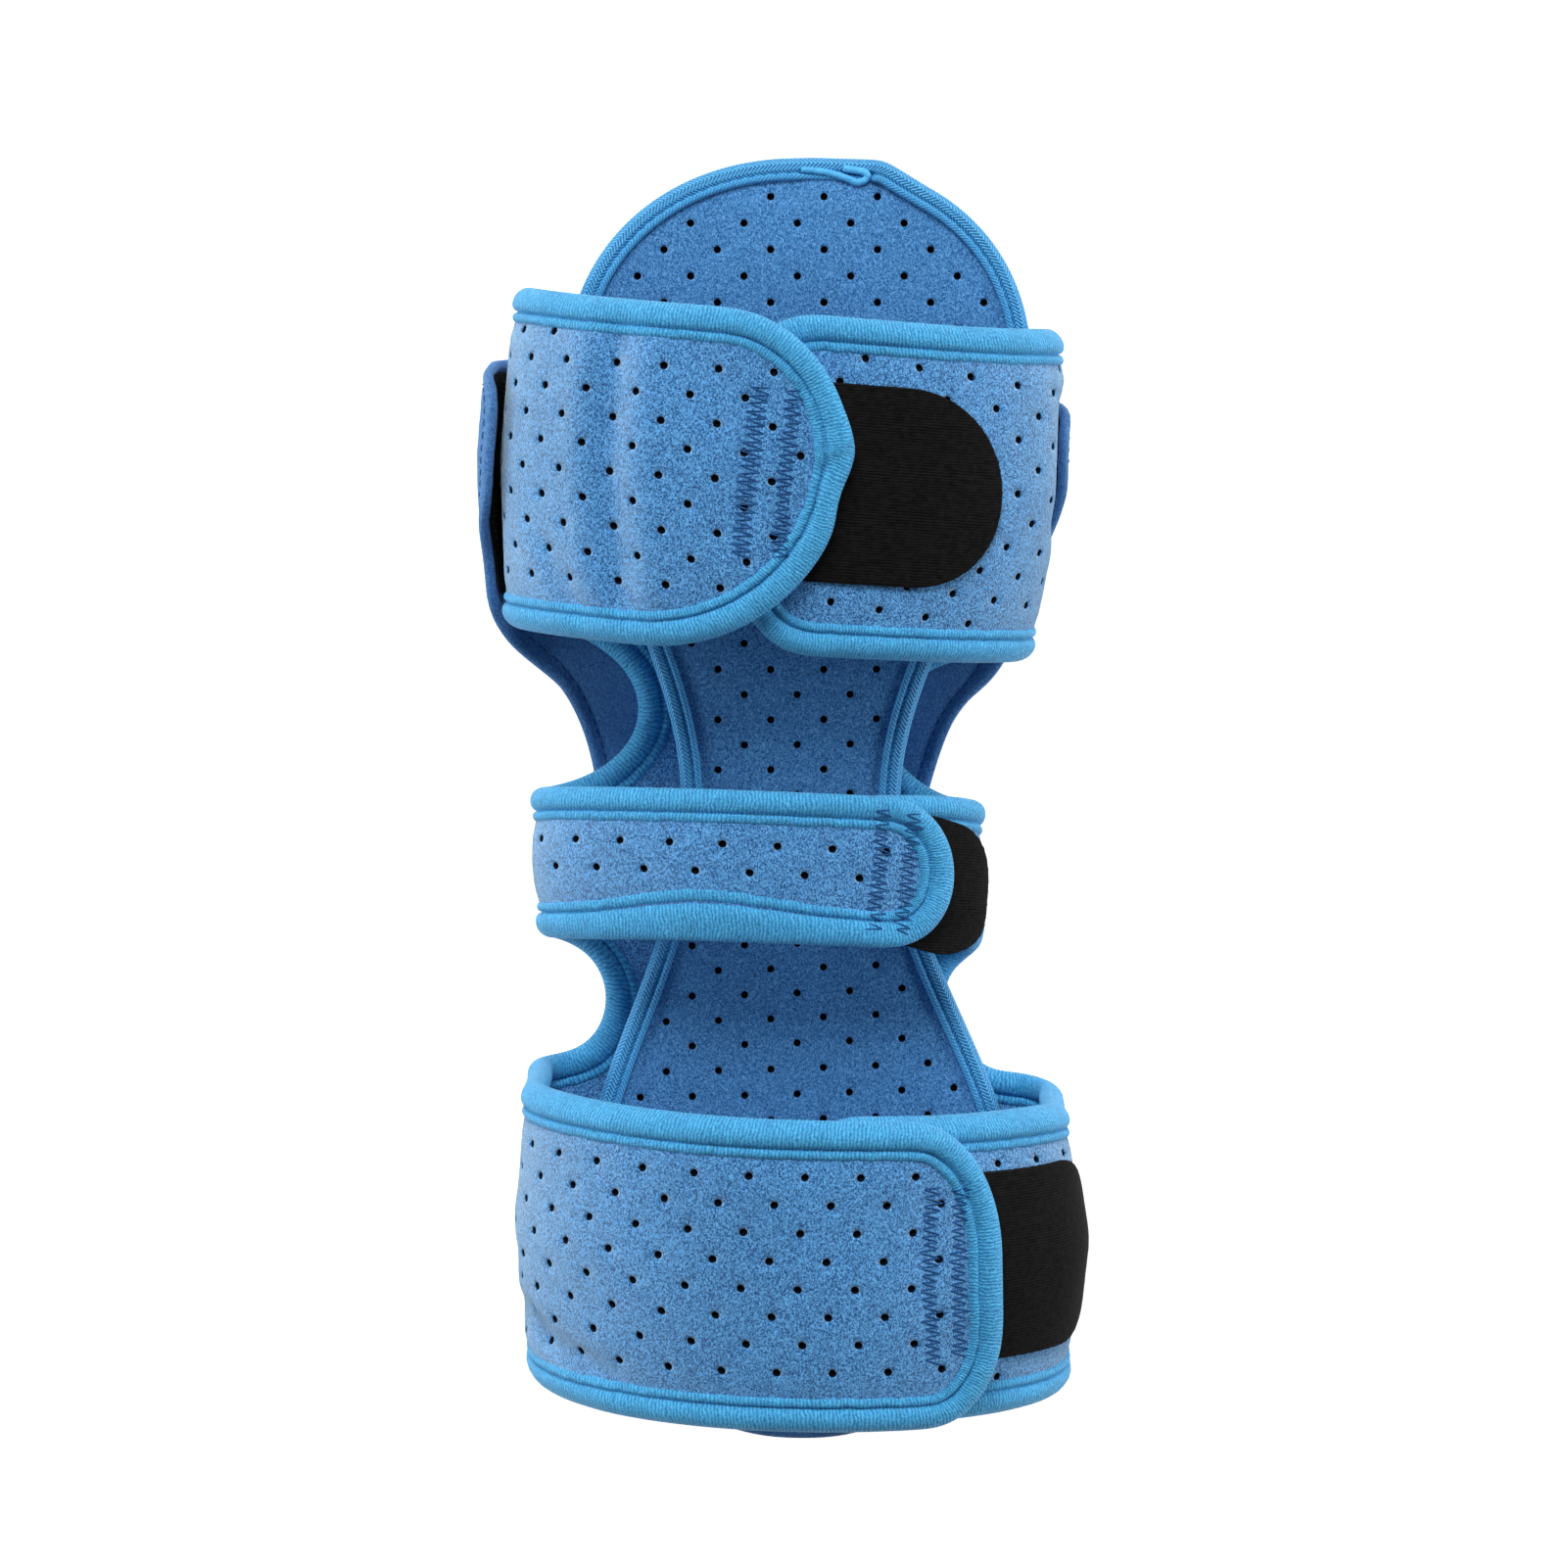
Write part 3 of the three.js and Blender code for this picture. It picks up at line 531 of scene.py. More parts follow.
def board_outline():
    """The board's finished edge, clockwise from the top"""
    turn = np.linspace(0, math.pi / 2, END_POINTS)
    top = TOP_LOBE["y"] + (BOARD["top"] - TOP_LOBE["y"]) * np.cos(turn)
    flanks = np.linspace(TOP_LOBE["y"], BOTTOM_LOBE["y"], FLANK_POINTS)[1:-1]
    bottom = BOTTOM_LOBE["y"] + (BOARD["bottom"] - BOTTOM_LOBE["y"]) * np.sin(turn)
    y = np.concatenate([top, flanks, bottom])
    centre, half = board_shape(y)
    right = np.column_stack([centre + half, y])
    left_centre, left_half = board_shape(y, BOARD["left"])
    left = np.column_stack([left_centre - left_half, y])
    past = (right[:, 0] < SHOULDER[-1][0]) & (right[:, 1] > TOP_LOBE["y"])
    return np.vstack([right[:1], SHOULDER, right[~past], left[-2:0:-1]])


def on_board(flat, height):
    """Places on the board, whose faces swell between its rims"""
    x, y = flat[:, 0], flat[:, 1]
    centre, half = board_shape(y)
    share = np.minimum(1, np.abs(x - centre) / np.maximum(half, NARROWEST))
    from_end = np.clip(np.minimum(BOARD["top"] - y, y - BOARD["bottom"]) / TOP_LOBE["half"], 0, 1)
    swell = (1 - share ** 2) * (1 - (1 - from_end) ** 2)
    room = np.where(height > 0, FRONT_SWELL, -BACK_SWELL)
    return np.column_stack([flat, BOARD_LEVEL + height + room * swell])


def cover_outline():
    """The cover's edge in its flat cut, clockwise"""
    right = [(row["right"], row["y"]) for row in COVER]
    left = [(-row["left"], row["y"]) for row in COVER]
    return np.array(right + left[::-1])


def on_cover(flat, offset):
    """Places of the cover's flat cut, outside the wrap"""
    across, y = flat[:, 0], flat[:, 1]
    reach = np.abs(across)
    place = on_loop(across, y, COVER_OFFSET + offset)
    stand_off = np.where(across < 0, COVER_STAND_OFF["left"], COVER_STAND_OFF["right"])
    shift = stand_off * smoothstep(reach, COVER_STAND_OFF["start"], COVER_STAND_OFF["full"])
    for side, name in SIDES:
        start, full, flare = COVER_FLARE[name]
        shift += np.where(across * side > 0, flare * smoothstep(reach, start, full), 0)
    place[:, 0] += np.sign(across) * shift
    return place


# Flat meshes
DENSE_STEP = 0.5
CUT_TOLERANCE = 1e-6
CONTOUR_SHARE = 0.7
LOOSE_SHARE = 0.45
SPARE_ROWS = 8
SPARE_COLUMNS = 1


def tree_of(points):
    tree = kdtree.KDTree(len(points))
    for i, p in enumerate(points):
        tree.insert((p[0], p[1], 0), i)
    tree.balance()
    return tree


def edge_tree(loop):
    return tree_of(resample(loop, DENSE_STEP)[0])


def distances(points, tree):
    return np.array([tree.find((p[0], p[1], 0))[2] for p in points])


def inside(points, loop):
    """Which points lie inside a closed path"""
    x, y = points[:, 0], points[:, 1]
    odd = np.zeros(len(points), bool)
    for (x0, y0), (x1, y1) in zip(loop, np.roll(loop, -1, axis=0)):
        if y0 != y1:
            crosses = (y0 > y) != (y1 > y)
            odd ^= crosses & (x < x0 + (y - y0) * (x1 - x0) / (y1 - y0))
    return odd


def grid(loop, step):
    """Points of a triangle grid over a closed path's box"""
    low, high = loop.min(axis=0), loop.max(axis=0)
    rows = np.arange(low[1], high[1], step * math.sqrt(3) / 2)
    points = []
    for i, y in enumerate(rows):
        x = np.arange(low[0] + (i % 2) * step / 2, high[0], step)
        points.append(np.column_stack([x, np.full(len(x), y)]))
    return np.vstack(points)


def triangulate(rings, holes, loose):
    """Triangles inside the first ring. The other rings and the holes' circles are kept as edges."""
    coords, edges = [], []
    turn = np.arange(HOLE_SIDES) * 2 * math.pi / HOLE_SIDES
    circle = np.column_stack([np.cos(turn), np.sin(turn)])
    for ring in list(rings) + [hole + circle * HOLE_RADIUS for hole in holes]:
        start, count = len(coords), len(ring)
        coords.extend(ring.tolist())
        edges.extend((start + i, start + (i + 1) % count) for i in range(count))
    for hole in holes:
        coords.extend((hole + circle * HOLE_RIM).tolist())
    coords.extend(loose.tolist())
    made = delaunay_2d_cdt([Vector(c) for c in coords], edges, [], 0, CUT_TOLERANCE)
    points = np.array([(v.x, v.y) for v in made[0]])
    faces = np.array(made[2])
    centre = points[faces].mean(axis=1)
    keep = inside(centre, rings[0])
    if len(holes):
        keep &= distances(centre, tree_of(holes)) > HOLE_RADIUS * HOLE_KEEP
    return points, faces[keep]


def flat_cut(outline, contours, step, holes=()):
    """A cut of cloth as flat triangles, with contour lines at given distances in from its edge"""
    near = edge_tree(outline)
    normal = inward(outline)
    rings = [outline] + [resample(outline + normal * d, step * CONTOUR_SHARE)[0] for d in contours]
    loose = grid(outline, step)
    loose = loose[inside(loose, outline)]
    depth = distances(loose, near)
    away = np.min([np.abs(depth - d) for d in [0] + contours], axis=0)
    loose = loose[away > step * LOOSE_SHARE]
    if len(holes):
        loose = loose[distances(loose, tree_of(holes)) > HOLE_RIM + HOLE_MARGIN]
    points, faces = triangulate(rings, holes, loose)
    return points, faces, distances(points, near)


def rim_of(faces):
    """Directed edges that only one triangle has"""
    edges = np.vstack([faces[:, [0, 1]], faces[:, [1, 2]], faces[:, [2, 0]]])
    seen = {(a, b) for a, b in edges.tolist()}
    return [(a, b) for a, b in seen if (b, a) not in seen]


def two_sided(faces, count, rim):
    """Faces of a thick cloth: a front layer of count points, a back layer, and walls round a rim"""
    walls = [(a, a + count, b + count, b) for a, b in rim]
    return faces.tolist() + (faces[:, ::-1] + count).tolist() + walls


def inner_edge(name, edge):
    """The edge that a padded cloth is cut to, inside its edge tape"""
    return soften(resample(edge + inward(edge) * PADDED[name]["inset"], PANEL_EDGE_STEP)[0], 1)


def padded_half(name, flat, depth):
    """Half a padded cloth's thickness: held down along its edge, full and uneven between"""
    cloth = PADDED[name]
    full = cloth["thin"] + cloth["padding"] * smoothstep(depth, *cloth["full"])
    return full + ripple(flat, name) * smoothstep(depth, *cloth["uneven"])


def perforated(name, edge, holes):
    """Flat cut of a padded cloth with holes, its half thickness, and the rims of its holes and of its edge"""
    flat, faces, depth = flat_cut(edge, [], MESH_STEP, holes)
    away = distances(flat, tree_of(holes))
    dimple = PADDED[name]["dimple"] * bell(away, HOLE_RADIUS, DIMPLE_WIDTH)
    half = padded_half(name, flat, depth + PADDED[name]["inset"]) - dimple
    rim = rim_of(faces)
    hole_rim = [(a, b) for a, b in rim if away[a] < HOLE_WALL]
    edge_rim = [(a, b) for a, b in rim if away[a] >= HOLE_WALL]
    return flat, faces, half, hole_rim, edge_rim


def sink_holes(flat, rim, holes, shift, start):
    """Blind holes in a layer that starts at shift: the floors' flat places, and faces of walls and floors"""
    ring = sorted({v for edge in rim for v in edge})
    floor = {v: start + i for i, v in enumerate(ring)}
    tree = tree_of(holes)
    middle = {v: start + len(ring) + tree.find((*flat[v], 0))[1] for v in ring}
    walls = [(a + shift, floor[a], floor[b], b + shift) for a, b in rim]
    floors = [(floor[a], middle[a], floor[b]) for a, b in rim]
    return np.vstack([flat[ring], holes]), walls + floors


def lattice(loop, setting, clear, tree):
    """Holes of a perforated cloth inside a path, at least the clearance from its edge"""
    pitch, pitch_across, slope, s0, y0 = setting
    low, high = loop.min(axis=0) - pitch, loop.max(axis=0) + pitch
    first_row, last_row = (int((end[1] - y0) / pitch_across * 2) for end in (low, high))
    first_column, last_column = (int((end[0] - s0) / pitch) for end in (low, high))
    rows = np.arange(first_row - SPARE_ROWS, last_row + SPARE_ROWS + 1)
    columns = np.arange(first_column - SPARE_COLUMNS, last_column + SPARE_COLUMNS + 1)
    row, place = (v.ravel() for v in np.meshgrid(rows, columns))
    s = (place + 0.5 * (row % 2)) * pitch
    points = np.column_stack([s0 + s, y0 + row * pitch_across / 2 + slope * s])
    points = points[inside(points, loop)]
    return points[distances(points, tree) > clear]


# Objects
high_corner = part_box("board_tape")[1]
SHIFT = np.array([
    high_corner[0] / MM - TOP_LOBE["centre"] - TOP_LOBE["half"],
    high_corner[1] / MM - BOARD["top"],
    0.0,
])


def add_piece(name, points, faces, materials, uv=None, marks=None):
    """A smooth mesh that rides on the part, its faces turned outwards"""
    quads = np.array([f if len(f) == 4 else list(f) + [f[-1]] for f in faces])
    a, b, c, d = (points[quads[:, k]] for k in range(4))
    signed = np.einsum("ij,ij->", a, np.cross(b, c)) + np.einsum("ij,ij->", a, np.cross(c, d))
    if signed < 0:
        faces = [list(f)[::-1] for f in faces]
        uv = None if uv is None else [list(u)[::-1] for u in uv]
    mesh = bpy.data.meshes.new(name)
    mesh.from_pydata(((points + SHIFT) * MM).tolist(), [], [list(f) for f in faces])
    if uv is not None:
        layer = mesh.uv_layers.new(name="cloth")
        layer.data.foreach_set("uv", np.concatenate([np.array(u).ravel() for u in uv]))
    for material in materials:
        mesh.materials.append(material)
    if marks is not None:
        mesh.polygons.foreach_set("material_index", marks)
    mesh.polygons.foreach_set("use_smooth", np.ones(len(mesh.polygons), bool))
    mesh.update()
    obj = bpy.data.objects.new(name, mesh)
    bpy.context.scene.collection.objects.link(obj)
    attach(obj, "root")
    return obj


def vertex_uv(flat, faces):
    """Flat places as the texture map, for each corner of each face. Layers share their places."""
    count = len(flat)
    return [flat[np.array(f) % count] for f in faces]


def sweep(profile_length, length, rings):
    """Points, faces and texture map of a closed tape: rings is stations by profile by 3"""
    count, sides = rings.shape[:2]
    faces, uv = [], []
    step = length / count
    for i in range(count):
        here, ahead = i * sides, ((i + 1) % count) * sides
        for j in range(sides):
            k = (j + 1) % sides
            faces.append((here + j, ahead + j, ahead + k, here + k))
            v0, v1 = profile_length[j], profile_length[j + 1]
            uv.append(((i * step, v0), ((i + 1) * step, v0), ((i + 1) * step, v1), (i * step, v1)))
    return rings.reshape(-1, 3), faces, uv


def both_sides(profile):
    """A tape's closed section: front face, edge and back face"""
    front = np.array(profile)
    back = front[::-1] * (1, -1)
    section = np.vstack([front, [(0.0, 0.0)], back])
    closed = np.vstack([section, section[:1]])
    length = np.concatenate([[0], np.cumsum(np.hypot(*np.diff(closed, axis=0).T))])
    return section, length


def tube(path, radius, sides=6):
    """A thread along a path, closed to a point at both ends"""
    path = np.asarray(path)
    ahead = np.gradient(path, axis=0)
    ahead = ahead / np.linalg.norm(ahead, axis=1)[:, None]
    is_steep = abs(ahead[0, 2]) >= 0.8
    helper = np.array([0.0, 1.0, 0.0]) if is_steep else np.array([0.0, 0.0, 1.0])
    across = np.cross(ahead, helper)
    across = across / np.linalg.norm(across, axis=1)[:, None]
    over = np.cross(across, ahead)
    turn = np.arange(sides) * 2 * math.pi / sides
    ring = np.cos(turn)[None, :, None] * across[:, None] + np.sin(turn)[None, :, None] * over[:, None]
    points = (path[:, None] + ring * np.broadcast_to(radius, len(path))[:, None, None]).reshape(-1, 3)
    faces = []
    for i in range(len(path) - 1):
        for j in range(sides):
            k = (j + 1) % sides
            faces.append((i * sides + j, i * sides + k, (i + 1) * sides + k, (i + 1) * sides + j))
    first, last = len(points), len(points) + 1
    points = np.vstack([points, path[:1], path[-1:]])
    end = (len(path) - 1) * sides
    faces += [(first, (j + 1) % sides, j) for j in range(sides)]
    faces += [(last, end + j, end + (j + 1) % sides) for j in range(sides)]
    return points, faces


def join(shapes):
    points, faces, start = [], [], 0
    for p, f in shapes:
        points.append(p)
        faces.extend(tuple(start + i for i in face) for face in f)
        start += len(p)
    return np.vstack(points), faces


# Materials
PALE_SHEEN = (0.78, 0.94, 1, 1)


def set_inputs(node, values):
    for name, value in values.items():
        node.inputs[name].default_value = value


class Material:
    """A principled material and short ways to add nodes to it"""

    def __init__(self, name, roughness, specular, sheen=0.0, sheen_roughness=0.32):
        self.material = bpy.data.materials.new(name)
        self.material.use_nodes = True
        self.tree = self.material.node_tree
        self.shader = self.tree.nodes["Principled BSDF"]
        set_inputs(self.shader, {
            "Roughness": roughness, "Specular IOR Level": specular, "Sheen Weight": sheen,
            "Sheen Roughness": sheen_roughness, "Sheen Tint": PALE_SHEEN,
        })
        self.places = self.add("TexCoord")

    def add(self, kind, values=None):
        node = self.tree.nodes.new("ShaderNode" + kind)
        set_inputs(node, values or {})
        return node

    def link(self, source, target):
        self.tree.links.new(source, target)

    def noise(self, scale, detail, rough, distortion=0.0, stretch=None):
        settings = {"Scale": scale, "Detail": detail, "Roughness": rough, "Distortion": distortion}
        node = self.add("TexNoise", settings)
        source = self.places.outputs["Object"]
        if stretch is not None:
            mapping = self.add("Mapping", {"Scale": stretch})
            self.link(source, mapping.inputs["Vector"])
            source = mapping.outputs["Vector"]
        self.link(source, node.inputs["Vector"])
        return node.outputs["Fac"]

    def maths(self, kind, *values):
        node = self.add("Math")
        node.operation = kind
        for socket, value in zip(node.inputs, values):
            if isinstance(value, (int, float)):
                socket.default_value = value
            else:
                self.link(value, socket)
        return node.outputs["Value"]

    def blend(self, *parts):
        """The sum of values, each times its share"""
        total, *others = [self.maths("MULTIPLY", value, share) for value, share in parts]
        for product in others:
            total = self.maths("ADD", total, product)
        return total

    def map_part(self, axis):
        """Place on the texture map: along a tape in X, round it in Y"""
        node = self.add("SeparateXYZ")
        self.link(self.places.outputs["UV"], node.inputs["Vector"])
        return node.outputs[axis]

    def waves(self, along, pitch, waver):
        """Rounded ribs of the given pitch, from 0 to 1"""
        turn = self.maths("ADD", self.maths("MULTIPLY", along, 2 * math.pi / pitch), waver)
        wave = self.maths("SINE", turn)
        return self.maths("ADD", self.maths("MULTIPLY", wave, 0.5), 0.5)

    def ramp(self, value, *stops):
        node = self.add("ValToRGB")
        while len(node.color_ramp.elements) < len(stops):
            node.color_ramp.elements.new(0.5)
        for element, (position, colour) in zip(node.color_ramp.elements, stops):
            element.position = position
            element.color = (*colour, 1)
        self.link(value, node.inputs["Fac"])
        return node.outputs["Color"]

    def tint(self, colour, value, darkest, lightest):
        """The colour, made darker or lighter by a value from 0 to 1"""
        limits = {"From Min": 0.3, "From Max": 0.7, "To Min": darkest, "To Max": lightest}
        shade = self.add("MapRange", limits)
        self.link(value, shade.inputs["Value"])
        mix = self.add("VectorMath")
        mix.operation = "SCALE"
        self.link(colour, mix.inputs["Vector"])
        self.link(shade.outputs["Result"], mix.inputs["Scale"])
        return mix.outputs["Vector"]

    def finish(self, colour, height, strength, distance):
        self.link(colour, self.shader.inputs["Base Color"])
        bump = self.add("Bump", {"Strength": strength, "Distance": distance * MM})
        self.link(height, bump.inputs["Height"])
        self.link(bump.outputs["Normal"], self.shader.inputs["Normal"])
        return self.material


def velour(name, dark, middle, light, spread, sheen):
    """Brushed loop cloth: light curly fibres on a darker ground, mottled in small patches"""
    made = Material(name, roughness=0.95, specular=0.05, sheen=sheen, sheen_roughness=0.46)
    upright = made.noise(3000, 1.0, 0.6, 1.0, (1.0, 0.55, 0.65))
    slanted = made.noise(2500, 1.0, 0.6, 1.5, (0.8, 1.0, 1.0))
    patches = made.noise(600, 2.0, 0.6, 0.4)
    broad = made.noise(30, 2.0, 0.5)
    both = made.blend((upright, 0.52), (slanted, 0.43), (patches, 0.05))
    colour = made.ramp(both, (0.5 - spread, dark), (0.5, middle), (0.5 + spread, light))
    colour = made.tint(colour, broad, darkest=0.93, lightest=1.07)
    return made.finish(colour, both, strength=0.8, distance=0.8)


def rib_binding(name, dark, middle, light):
    """Stretch rib tape with a brushed woolly face, its ribs across the tape"""
    made = Material(name, roughness=0.62, specular=0.3, sheen=0.14)
    waver = made.maths("MULTIPLY", made.noise(420, 2.0, 0.6), 11.0)
    ribs = made.waves(made.map_part("X"), 0.95, waver)
    wool = made.noise(1700, 3.0, 0.7, 0.8)
    patches = made.noise(150, 3.0, 0.6)
    both = made.blend((ribs, 0.2), (wool, 0.8))
    colour = made.ramp(both, (0.36, dark), (0.5, middle), (0.64, light))
    colour = made.tint(colour, patches, darkest=0.92, lightest=1.06)
    return made.finish(colour, both, strength=0.9, distance=0.8)


def woven_tape(name, dark, middle, light):
    """Woven tape: a herringbone of fine ribs, bold on the band along its edge and fainter on the cord"""
    made = Material(name, roughness=0.6, specular=0.4, sheen=0.08)
    inset = made.maths("PINGPONG", made.map_part("Y"), TAPE_REACH)
    chevron = made.maths("ADD", made.map_part("X"), made.maths("PINGPONG", inset, 1.7))
    waver = made.maths("MULTIPLY", made.noise(400, 2.0, 0.6), 1.6)
    rungs = made.waves(chevron, 1.1, waver)
    lines = made.waves(inset, 1.7, made.maths("MULTIPLY", waver, 0.3))
    on_band = made.maths("GREATER_THAN", inset, TAPE_CORD)
    on_cord = made.maths("SUBTRACT", 1.0, on_band)
    threads = made.blend((rungs, 0.75), (lines, 0.25))
    boldness = made.maths("ADD", 0.7, made.maths("MULTIPLY", on_band, 0.3))
    weave = made.maths("MULTIPLY", threads, boldness)
    weave = made.maths("ADD", weave, made.maths("MULTIPLY", on_cord, 0.15))
    fuzz = made.noise(1500, 3.0, 0.7, 0.4)
    both = made.blend((weave, 0.6), (fuzz, 0.4))
    colour = made.ramp(both, (0.25, dark), (0.5, middle), (0.75, light))
    return made.finish(colour, both, strength=0.9, distance=0.6)


def hook_tape(name, dark, light):
    """Black hook tape seen from its woven back: fine ribs along the tape"""
    made = Material(name, roughness=0.8, specular=0.06)
    waver = made.maths("MULTIPLY", made.noise(300, 2.0, 0.6), 4.0)
    ribs = made.waves(made.map_part("Y"), 0.75, waver)
    grain = made.noise(800, 3.0, 0.7, 0.0, (0.5, 1.0, 1.0))
    both = made.blend((ribs, 0.25), (grain, 0.75))
    return made.finish(made.ramp(both, (0.36, dark), (0.64, light)), both, strength=0.4, distance=0.25)


def plain_cloth(name, dark, light):
    made = Material(name, roughness=0.9, specular=0.1)
    grain = made.noise(1500, 2.0, 0.6)
    return made.finish(made.ramp(grain, (0.3, dark), (0.7, light)), grain, strength=0.3, distance=0.2)


strap_velour = velour(
    "strap_velour", (0.008, 0.072, 0.245), (0.048, 0.228, 0.55), (0.150, 0.485, 0.92),
    spread=0.056, sheen=1.0,
)
board_velour = velour(
    "board_velour", (0.017, 0.094, 0.28), (0.055, 0.228, 0.53), (0.148, 0.425, 0.81),
    spread=0.088, sheen=0.4,
)
cover_velour = velour(
    "cover_velour", (0.032, 0.112, 0.31), (0.068, 0.203, 0.475), (0.128, 0.32, 0.62),
    spread=0.12, sheen=0.22,
)
binding_cloth = rib_binding("rib_binding", (0.021, 0.215, 0.49), (0.049, 0.37, 0.73), (0.108, 0.56, 0.95))
tape_cloth = woven_tape("woven_tape", (0.012, 0.12, 0.35), (0.046, 0.325, 0.69), (0.118, 0.56, 0.96))
hook_cloth = hook_tape("hook_tape", (0.0016, 0.0015, 0.0016), (0.0105, 0.0098, 0.0098))
# Hook strips and their bristles: the same black hook tape, with lighter grey specks as painted glints of the
# hooks
bristle_glint_cloth = plain_cloth("hook_bristles_painted_glints", (0.0025, 0.0025, 0.0026), (0.028, 0.027, 0.026))
# Walls and floors inside the holes: near-black painted shade, standing in for the shade deep in the narrow
# holes
hole_painted_shade = plain_cloth("hole_painted_shade", (0.003, 0.006, 0.014), (0.006, 0.012, 0.028))
thread_cloth = plain_cloth("zigzag_thread", (0.012, 0.066, 0.21), (0.026, 0.110, 0.31))
seam_thread = plain_cloth("seam_thread", (0.02, 0.12, 0.30), (0.04, 0.20, 0.44))


# Wrap panel
def wrap_finish():
    """The wrap's finished edge with its dips and its lap, its length, and how far the lap moves each place"""
    edge, length = resample(wrap_outline(), EDGE_STEP)
    edge[:, 1] += edge_dips(edge)
    edge = soften(edge, EDGE_ROUNDS)
    above = edge[:, 1] - LAP_TIP["y"]
    standing = np.clip(1 - np.maximum(above / LAP_TIP["above"], -above / LAP_TIP["below"]), 0, 1)
    notch = bell(above, -LAP_TIP["notch_drop"], LAP_TIP["notch_reach"])
    on_lap = edge[:, 0] < LAP_TIP["zone"] - STRAPS[0]["reach"][-1]
    shift = (LAP_TIP["rise"] * standing - LAP_TIP["notch"] * notch) * on_lap
    edge[:, 0] -= shift
    return soften(edge, 1), length, shift


wrap_edge, wrap_edge_length, tip_shift = wrap_finish()
wrap_inward = inward(wrap_edge)
wrap_near = edge_tree(wrap_edge)


def along_line(flat, line):
    """A line's start and run, and the share of the way along it, for flat places"""
    start = np.array(line["from"])
    run = np.array(line["to"]) - start
    return start, run, (flat - start) @ run / (run @ run)


def crease_depth(flat):
    """How far the creases draw the cloth in"""
    depth = np.zeros(len(flat))
    for crease in CREASES:
        start, run, share = along_line(flat, crease)
        share = np.clip(share, -CREASE_FADE, 1 + CREASE_FADE)
        away = np.linalg.norm(flat - start - share[:, None] * run, axis=1) / crease["width"]
        fade = between(share, -CREASE_FADE, CREASE_FADE, 1 - CREASE_FADE, 1 + CREASE_FADE)
        ridge = CREASE_RIDGE["height"] * bell(away, CREASE_RIDGE["away"], CREASE_RIDGE["width"])
        depth += crease["depth"] * fade * (bell(away, 0, 1) - ridge)
    return depth


def zigzag_press(flat):
    """How far the zigzag seams press the cloth in"""
    press = np.zeros(len(flat))
    for seam in ZIGZAGS:
        start, run, share = along_line(flat, seam)
        away = (flat - start) @ np.array([run[1], -run[0]]) / np.hypot(*run)
        rows = between(share, -ZIGZAG_PRESS["fade"], 0, 1, 1 + ZIGZAG_PRESS["fade"])
        here = ZIGZAG_PRESS["depth"] * rows * bell(away, 0, seam["width"] * ZIGZAG_PRESS["width"], 4)
        press = np.maximum(press, here)
    return press


def wrap_bend(flat):
    """Slow waves of the soft wings, nothing at the back, and edges that curl in where the cloth turns up"""
    reach = np.abs(flat[:, 0])
    waves = ripple(flat, "wings") * smoothstep(reach, *WING_WAVES)
    turned = between(reach, *EDGE_CURL["reach"])
    return waves - EDGE_CURL["depth"] * turned * bell(distances(flat, wrap_near), 0, EDGE_CURL["width"])


def wing_press(flat):
    """How far the cover's right wing and its hook strip press the wrap in"""
    return WING_PRESS["depth"] * between(flat[:, 0], *WING_PRESS["s"]) * between(flat[:, 1], *WING_PRESS["y"])


def wrap_holes():
    found = []
    for k, setting in enumerate(STRAP_HOLES):
        for side, name in SIDES:
            holes = lattice(wrap_edge, setting[name], HOLE_EDGE[k], wrap_near)
            found.append(holes[(strap_of(holes[:, 1]) == k) & (holes[:, 0] * side > 0)])
    kept = []
    for hole in np.vstack(found):
        if all(np.hypot(*(hole - other)) > HOLE_CLEARANCE for other in kept[-HOLES_LOOKED_BACK:]):
            kept.append(hole)
    return np.array(kept)


def wrap_cloth():
    """Points and faces of the wrap's cloth, its flat places, and marks of the faces inside holes, which take
    painted shade
    """
    holes = wrap_holes()
    flat, faces, half, hole_rim, edge_rim = perforated("wrap", inner_edge("wrap", wrap_edge), holes)
    drawn_in = crease_depth(flat)
    bend = wrap_bend(flat)
    inner_face = on_wrap(flat, -half + bend - INNER_CREASE * drawn_in)
    outer_face = on_wrap(flat, half + bend - drawn_in - zigzag_press(flat) - wing_press(flat))
    count = len(flat)
    points, places = [inner_face, outer_face], [flat, flat]
    cloth, sunk = two_sided(faces, count, edge_rim), []
    start = 2 * count
    for sign, shift, rim in ((-1, 0, hole_rim), (1, count, [(b, a) for a, b in hole_rim])):
        where, hole_faces = sink_holes(flat, rim, holes, shift, start)
        points.append(on_wrap(where, wrap_bend(where) - crease_depth(where) + sign * HOLE_WEB))
        places.append(where)
        sunk += hole_faces
        start += len(where)
    return np.vstack(points), cloth + sunk, np.vstack(places), np.repeat([0, 1], [len(cloth), len(sunk)])


points, faces, flat, marks = wrap_cloth()
wrap_panel = add_piece(
    "wrap_panel_velour", points, faces, [strap_velour, hole_painted_shade],
    vertex_uv(flat, faces), marks,
)
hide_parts("wrap_panel")


